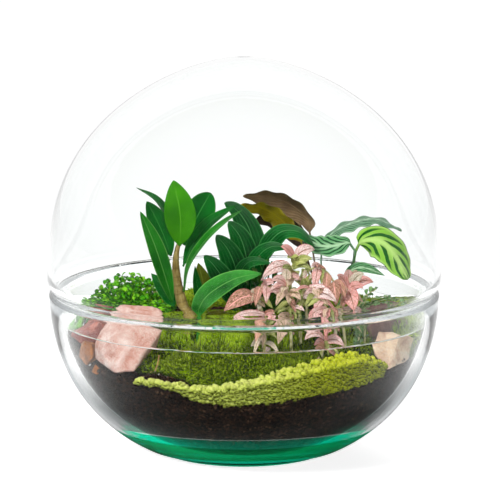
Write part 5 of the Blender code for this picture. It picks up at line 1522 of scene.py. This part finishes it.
def nerve_leaf_material():
    """A blade of one of four tones with its own vein colour, on a net of cells between the side veins."""
    material, tree, shader = new_material("nerve_leaf", Roughness=0.5, Coat_Weight=0.04, Coat_Roughness=0.4,
                                          Specular_IOR_Level=0.2)
    spot, along, away, under = leaf_axes(tree)
    rust, cream, olive = add(tree, "SeparateXYZ", Vector=stored(tree, "leaf_tone", "Vector")).outputs
    own = stored(tree, "own_shade")

    def toned(pink, rusty, creamy, olivy):
        """The one of four colours that the leaf's kind asks for."""
        shade = mixed(tree, rust, pink, rusty)
        return mixed(tree, olive, mixed(tree, cream, shade, creamy), olivy)

    patch = cloudy(tree, own_place(tree), 260.0, 4.0)
    light = toned(colour(255, 234, 230), colour(176, 136, 98), colour(252, 242, 224), colour(160, 168, 80))
    deep = toned(colour(240, 172, 166), colour(96, 72, 36), colour(236, 200, 180), colour(80, 98, 26))
    base = mixed(tree, band(tree, weighted(tree, (patch, 0.6), (own, 0.4)), 0.28, 0.72), deep, light)
    line = toned(colour(146, 92, 62), colour(248, 184, 174), colour(122, 112, 52), colour(216, 216, 150))
    shift = add(tree, "CombineXYZ", Z=times(tree, own, 40.0)).outputs[0]
    spread = add(tree, "Mapping", Vector=spot, Location=shift, Scale=(13.0, 5.5, 0.0)).outputs[0]
    cells = add(tree, "TexVoronoi", {"feature": "DISTANCE_TO_EDGE"}, Vector=spread, Scale=1.0)
    net = times(tree, band(tree, cells.outputs["Distance"], 0.085, 0.02), 0.9)
    side_veins = times(tree, stripe(tree, vein_phase(tree, along, away, 6.0, 0.35), 0.10), 0.8)
    veins = maths(tree, "MAXIMUM", maths(tree, "MAXIMUM", net, side_veins), band(tree, away, 0.09, 0.04))
    base = mixed(tree, veins, base, line)
    rim = toned(colour(222, 112, 112), colour(206, 120, 114), colour(232, 200, 176), colour(130, 140, 70))
    base = mixed(tree, times(tree, band(tree, away, 0.84, 0.96), 0.6), base, rim)
    below = mixed(tree, 0.6, base, colour(186, 168, 128))
    paint(tree, shader, mixed(tree, under, base, below))
    bump(tree, shader, maths(tree, "SUBTRACT", patch, veins), 0.5, 0.0003)
    return material


def stem_material(name, pale, deep):
    """A soft stem: two tones in small blots."""
    material, tree, shader = new_material(name, Roughness=0.55, Sheen_Weight=0.2, Sheen_Roughness=0.5)
    blots = cloudy(tree, own_place(tree), 300.0, 3.0)
    paint(tree, shader, ramp(tree, blots, (0.35, deep), (0.65, pale)))
    bump(tree, shader, blots, 0.3, 0.0002)
    return material


NERVE_LEAF = nerve_leaf_material()
NERVE_STEM = stem_material("nerve_stem", colour(226, 220, 176), colour(168, 160, 100))

# %% [markdown]
# Each nerve plant is a line for its stem and its main leaves: the place along the stem, the tip and the
# width in mm, and the kind. More small leaves are strewn about the upper half of every stem.

# %% Nerve plants
STREWN = 10                     # more small leaves for every stem
NARROWED = 0.84                 # all leaves are this much narrower than the widths say
FITTONIA = {
    "centre": (
        rooted((34, -77), (34, -79, 113), (33, -80, 130), (31, -82, 142)),
        [(1.0, (31, -86, 154), 9, "cream"), (1.0, (20, -88, 146), 8, "pink"), (0.95, (23, -93, 128), 8, "cream"),
         (0.9, (41, -92, 132), 8, "cream"), (0.55, (24, -106, 104), 14, "cream"),
         (0.72, (44, -93, 121), 7, "pink"), (1.0, (39, -90, 146), 7, "pink"), (0.97, (27, -92, 137), 7, "cream"),
         (0.9, (17, -92, 137), 8, "pink"), (0.85, (32, -94, 130), 8, "cream"), (0.7, (24, -92, 118), 7, "olive")]),
    "arch_right": (
        rooted((47, -65), (46, -65, 125), (44, -64, 143), (51, -65, 151), (60, -68, 149), (66, -71, 141)),
        [(1.0, (67, -80, 124), 11, "rust"), (0.84, (51, -79, 135), 8, "pink"), (0.45, (36, -67, 132), 8, "olive"),
         (0.92, (59, -76, 132), 9, "rust"), (1.0, (74, -77, 131), 9, "rust"), (0.6, (52, -70, 146), 7, "olive"),
         (0.52, (42, -72, 145), 7, "olive")]),
    "right": (
        rooted((74, -59), (73, -58, 110), (75, -60, 128), (77, -62, 135)),
        [(1.0, (76, -66, 150), 9, "pink"), (1.0, (88, -68, 147), 9, "cream"), (0.97, (81, -82, 116), 14, "pink"),
         (0.97, (95, -64, 140), 11, "pink"), (0.6, (88, -72, 112), 9, "pink"), (1.0, (68, -68, 146), 8, "pink"),
         (1.0, (83, -64, 149), 7, "cream"), (0.98, (87, -73, 137), 8, "pink"), (0.95, (68, -73, 132), 8, "cream"),
         (0.8, (72, -80, 122), 8, "rust")]),
    "arch_front": (
        rooted((41, -72), (41, -74, 115), (43, -80, 136), (49, -85, 139), (56, -89, 132), (61, -91, 122)),
        [(0.62, (67, -95, 131), 15, "pink"), (1.0, (46, -104, 115), 11, "pink"), (1.0, (68, -98, 110), 10, "rust"),
         (0.8, (61, -93, 127), 8, "cream"), (0.9, (51, -98, 123), 8, "pink"), (1.0, (58, -102, 107), 9, "pink")]),
    "arch_left": (
        rooted((16, -71), (13, -72, 118), (10, -75, 133), (14, -78, 140), (19, -80, 139)),
        [(0.75, (-15, -94, 122), 16, "rust"), (0.97, (16, -90, 129), 8, "pink"), (1.0, (27, -84, 132), 6, "cream"),
         (0.7, (5, -88, 137), 8, "cream"), (0.9, (8, -91, 127), 8, "rust")]),
    "back": (
        rooted((34, -59), (34, -58, 125), (35, -58, 146), (37, -57, 157)),
        [(1.0, (27, -60, 166), 8, "pink"), (1.0, (52, -56, 163), 11, "pink"), (0.9, (13, -70, 144), 12, "pink"),
         (0.9, (50, -63, 157), 9, "olive"), (0.75, (25, -66, 143), 9, "olive"), (0.97, (32, -64, 158), 7, "olive"),
         (0.95, (39, -64, 159), 7, "olive"), (0.93, (45, -65, 154), 7, "olive"), (0.9, (50, -67, 149), 8, "olive"),
         (0.85, (28, -67, 151), 7, "olive"), (0.85, (40, -69, 147), 8, "olive")]),
    "front": (
        rooted((56, -89), (57, -93, 98), (58, -96, 105)),
        [(1.0, (43, -108, 107), 10, "pink"), (0.95, (71, -104, 102), 9, "pink"), (1.0, (62, -107, 112), 8, "pink"),
         (0.8, (50, -106, 100), 8, "rust")]),
    "low_left": (
        rooted((14, -84), (15, -86, 104), (16, -88, 116)),
        [(0.97, (-9, -100, 114), 11, "pink"), (0.9, (8, -99, 104), 9, "rust"), (1.0, (22, -96, 122), 8, "rust")]),
}
stem_marks = np.linspace(0, 1, 40)
for name, (line, leaves) in FITTONIA.items():
    places, _ = smooth_path(np.array(line, dtype=float) * MM, stem_marks)
    along = np.concatenate([[leaf[0] - 0.01 for leaf in leaves], rng.uniform(0.5, 0.99, STREWN)])
    bases = np.column_stack([np.interp(along, stem_marks, axis) for axis in places.T])
    strewn = bases[-STREWN:] / MM + rng.uniform((-13, -12, -15), (13, -1, 7), (STREWN, 3))
    widths = rng.uniform(3.5, 6.0, STREWN)
    tones = rng.choice(["pink", "cream", "olive", "rust"], STREWN, p=(0.3, 0.35, 0.25, 0.1))
    leaves = leaves + [(0.0, tuple(tip), width, tone) for tip, width, tone in zip(strewn, widths, tones)]
    tips = np.array([leaf[1] for leaf in leaves]) * MM
    widths = NARROWED * np.array([leaf[2] for leaf in leaves]) * MM
    facing = np.array([0.0, -1.0, 0.5]) + 0.3 * rng.normal(size=(len(leaves), 3))
    points, faces, where, each = small_leaves(bases, tips, widths, facing)
    piece = mesh_piece("fine_fittonia_" + name, points, faces, NERVE_LEAF, "pink_leaf", leaf_place=where,
                       leaf_tone=np.repeat([KINDS[leaf[3]] for leaf in leaves], each, axis=0),
                       own_shade=np.repeat(rng.random(len(leaves)), each))
    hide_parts("fittonia_" + name)
points, faces = tubes([line for line, _ in FITTONIA.values()], [(1.3, 0.8)] * len(FITTONIA))
mesh_piece("fittonia_stems", points, faces, NERVE_STEM, "pink_leaf", weld=True)

# %% [markdown]
# ## Small greenery
#
# At the left grows a cushion of fresh green, all round leaflets; at the right, thin creepers hang over
# the stones; and a dark thicket of narrow leaflets fills the middle, its dark a painted shade behind the
# nerve plants. The leaflets are the same small leaf again, at random places in the shell of an ellipsoid or
# in rows along a stem.


# %% Leaflets
def leaflet_material(name, deep, middle, light):
    """Fresh leaflets: three tones chosen leaflet by leaflet, paler along the midrib and below."""
    material, tree, shader = new_material(name, Roughness=0.45, Coat_Weight=0.05, Specular_IOR_Level=0.2)
    _, _, away, under = leaf_axes(tree)
    patch = cloudy(tree, own_place(tree), 350.0, 3.0)
    tone = weighted(tree, (stored(tree, "own_shade"), 0.75), (patch, 0.3))
    base = ramp(tree, tone, (0.08, deep), (0.5, middle), (0.95, light))
    base = mixed(tree, times(tree, band(tree, away, 0.12, 0.04), 0.5), base, light)
    base = mixed(tree, times(tree, under, 0.4), base, light)
    paint(tree, shader, base)
    bump(tree, shader, patch, 0.3, 0.0002)
    return material


def leaflets(name, bases, outwards, lengths, material, slot, broad=0.85, belly=1.15, point=0.5,
             upwards=(0, -0.25, 1.0)):
    """Leaflets from their bases along their directions, each broad times its length wide."""
    count = len(bases)
    tips = bases + unit(outwards) * lengths[:, None]
    facing = upwards + 0.45 * rng.normal(size=(count, 3))
    points, faces, where, each = small_leaves(bases, tips, lengths * broad, facing, arch=0.12, fold=0.25,
                                              belly=belly, point=point, thick=0.0004, stations=5, around=6,
                                              quilt=0.0)
    return mesh_piece(name, points, faces, material, slot, leaf_place=where,
                      own_shade=np.repeat(rng.random(count), each))


def cushion_places(count, centre, size, shell):
    """Random places in the upper shell of an ellipsoid that stands on the ground, and outward directions."""
    way = unit(rng.normal(size=(count, 3)))
    way[:, 2] = np.abs(way[:, 2])
    depth = rng.uniform(*shell, count)[:, None]
    half = np.array(size) * MM
    foot = np.array([*np.array(centre) * MM, float(ground(*np.array(centre) * MM)) + 0.001])
    places = foot + way * half * depth
    return places, unit(way * (1, 1, 0.8) + (0, 0, 0.35) + 0.35 * rng.normal(size=(count, 3)))


FRESH = leaflet_material("fresh_leaflet", colour(14, 70, 2), colour(58, 146, 10), colour(150, 222, 44))
GREYISH = leaflet_material("grey_leaflet", colour(46, 92, 40), colour(104, 144, 84), colour(156, 186, 130))
# a darker copy of the leaflet finish: painted shade for the thicket behind the nerve plants
SHADED = leaflet_material("shaded_leaflet", colour(8, 42, 8), colour(26, 80, 18), colour(92, 130, 50))

# %% [markdown]
# The bush's leaflets lie like scales round their cushion and face outwards, which closes its surface. Those
# of the thicket point outwards and stay apart, so that it looks dark between the stems.

# %% Make the bush and the thicket
bush_parts = [cushion_places(1500, (-88, 6), (34, 20, 39), (0.5, 1.0)),
              cushion_places(130, (-66, -18), (10, 9, 20), (0.4, 1.0)),
              cushion_places(90, (-122, -12), (9, 9, 18), (0.4, 1.0))]
bush_places, bush_ways = (np.vstack(part) for part in zip(*bush_parts))
bush_round = np.cross(bush_ways, rng.normal(size=bush_ways.shape)) + 0.4 * bush_ways
bush = leaflets("leafy_bush", bush_places, bush_round, rng.uniform(0.0030, 0.0050, len(bush_places)), FRESH,
                "small_green_leaf", broad=0.9, upwards=bush_ways + (0, -0.5, 0.3))
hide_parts("bush_small_leaved")
thicket_parts = [cushion_places(320, (28, -42), (38, 14, 40), (0.3, 1.0)),
                 cushion_places(160, (16, -44), (16, 10, 62), (0.3, 1.0))]
thicket_places, thicket_ways = (np.vstack(part) for part in zip(*thicket_parts))
# the thicket's dark leaflets are painted shade behind the nerve plants
leaflets("dark_thicket", thicket_places, thicket_ways, rng.uniform(0.004, 0.009, len(thicket_places)),
         SHADED, "small_green_leaf", broad=0.55)

# %% [markdown]
# Each creeper has three sprigs from one root, and its leaflets stand in two rows along each.

# %% Make the creepers
CREEPERS = {
    "sprig_right_tall": [rooted((89, -42), (91, -43, 108), (98, -43, 122), (106, -44, 125), (113, -45, 118)),
                         rooted((89, -42), (93, -42, 112), (104, -42, 120), (116, -40, 118), (126, -37, 110)),
                         rooted((89, -42), (90, -41, 114), (92, -42, 126), (98, -44, 131))],
    "sprig_right_low": [rooted((84, -47), (87, -52, 106), (92, -57, 115), (99, -58, 118)),
                        rooted((84, -47), (88, -48, 108), (96, -50, 116), (106, -50, 117), (112, -51, 112)),
                        rooted((84, -47), (86, -46, 112), (88, -47, 122), (91, -49, 128))],
}
for name, lines in CREEPERS.items():
    bases, ways = [], []
    for line in lines:
        places, headings = smooth_path(np.array(line, dtype=float) * MM, np.linspace(0.3, 1.0, 15))
        side = unit(np.cross(headings, (0.0, -0.3, 1.0)))
        for sign in (-1, 1):
            bases.append(places)
            ways.append(sign * side + 0.5 * headings + 0.35 * rng.normal(size=places.shape))
    bases, ways = np.vstack(bases), np.vstack(ways)
    piece = leaflets("fine_" + name, bases, ways, rng.uniform(0.0030, 0.0052, len(bases)), GREYISH,
                     "small_green_leaf", broad=0.7)
    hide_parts(name)
stems = [line for lines in CREEPERS.values() for line in lines]
points, faces = tubes(stems, [(0.8, 0.4)] * len(stems), 6)
mesh_piece("creeper_stems", points, faces, NERVE_STEM, "small_green_leaf", weld=True)

# %% [markdown]
# Potting soil also holds white grains of perlite, which keep it airy, and bits of twig and straw. They
# are scattered last: most grains near the wall at the left and in front, the rest anywhere, and the
# fibres on the front bank, where the twig leans too.

# %% Perlite, a twig and fibres
GRAINS_BY_WALL = 40
GRAINS_ANYWHERE = 20
FIBRES = 26
white_grain, tree, shader = new_material("perlite", Roughness=0.9, Specular_IOR_Level=0.2)
cells = add(tree, "TexVoronoi", Vector=own_place(tree), Scale=1500.0).outputs["Distance"]
white = ramp(tree, cells, (0.1, colour(206, 200, 188)), (0.6, colour(244, 242, 236)))
paint(tree, shader, white)
grain_places = np.vstack([scattered(GRAINS_BY_WALL, (150, 340), (0.085, None)),
                          scattered(GRAINS_ANYWHERE, (0, 360), (0.02, None))])
grains = len(grain_places)
points, faces = repeated(crumb_shape, crumb_faces, grain_places, random_turns(grains),
                         rng.uniform(0.0005, 0.0011, (grains, 1)) * rng.uniform(0.7, 1.1, (grains, 3)))
mesh_piece("perlite_grains", points, faces, white_grain, "potting_soil")

STRAW = stem_material("straw", colour(206, 160, 100), colour(150, 100, 56))
fibre_places = scattered(FIBRES, (-165, -15), (0.07, None)) / MM
fibre_ways = unit(rng.normal(size=(FIBRES, 3)) * (1, 1, 0.25)) * rng.uniform(1.5, 3.5, (FIBRES, 1))
fibre_lines = [[place - way, place + (0, 0, 0.8), place + way] for place, way in zip(fibre_places, fibre_ways)]
fibre_lines.append([(-64, -104, 82), (-62, -106, 88), (-61, -106, 94)])                # the twig
points, faces = tubes(fibre_lines, [(0.22, 0.15)] * FIBRES + [(0.55, 0.4)], 5, 6)
points = drawn_in(points, inner_radius(points[:, 2]) - 0.0006)
mesh_piece("twig_and_fibres", points, faces, STRAW, "potting_soil", weld=True)
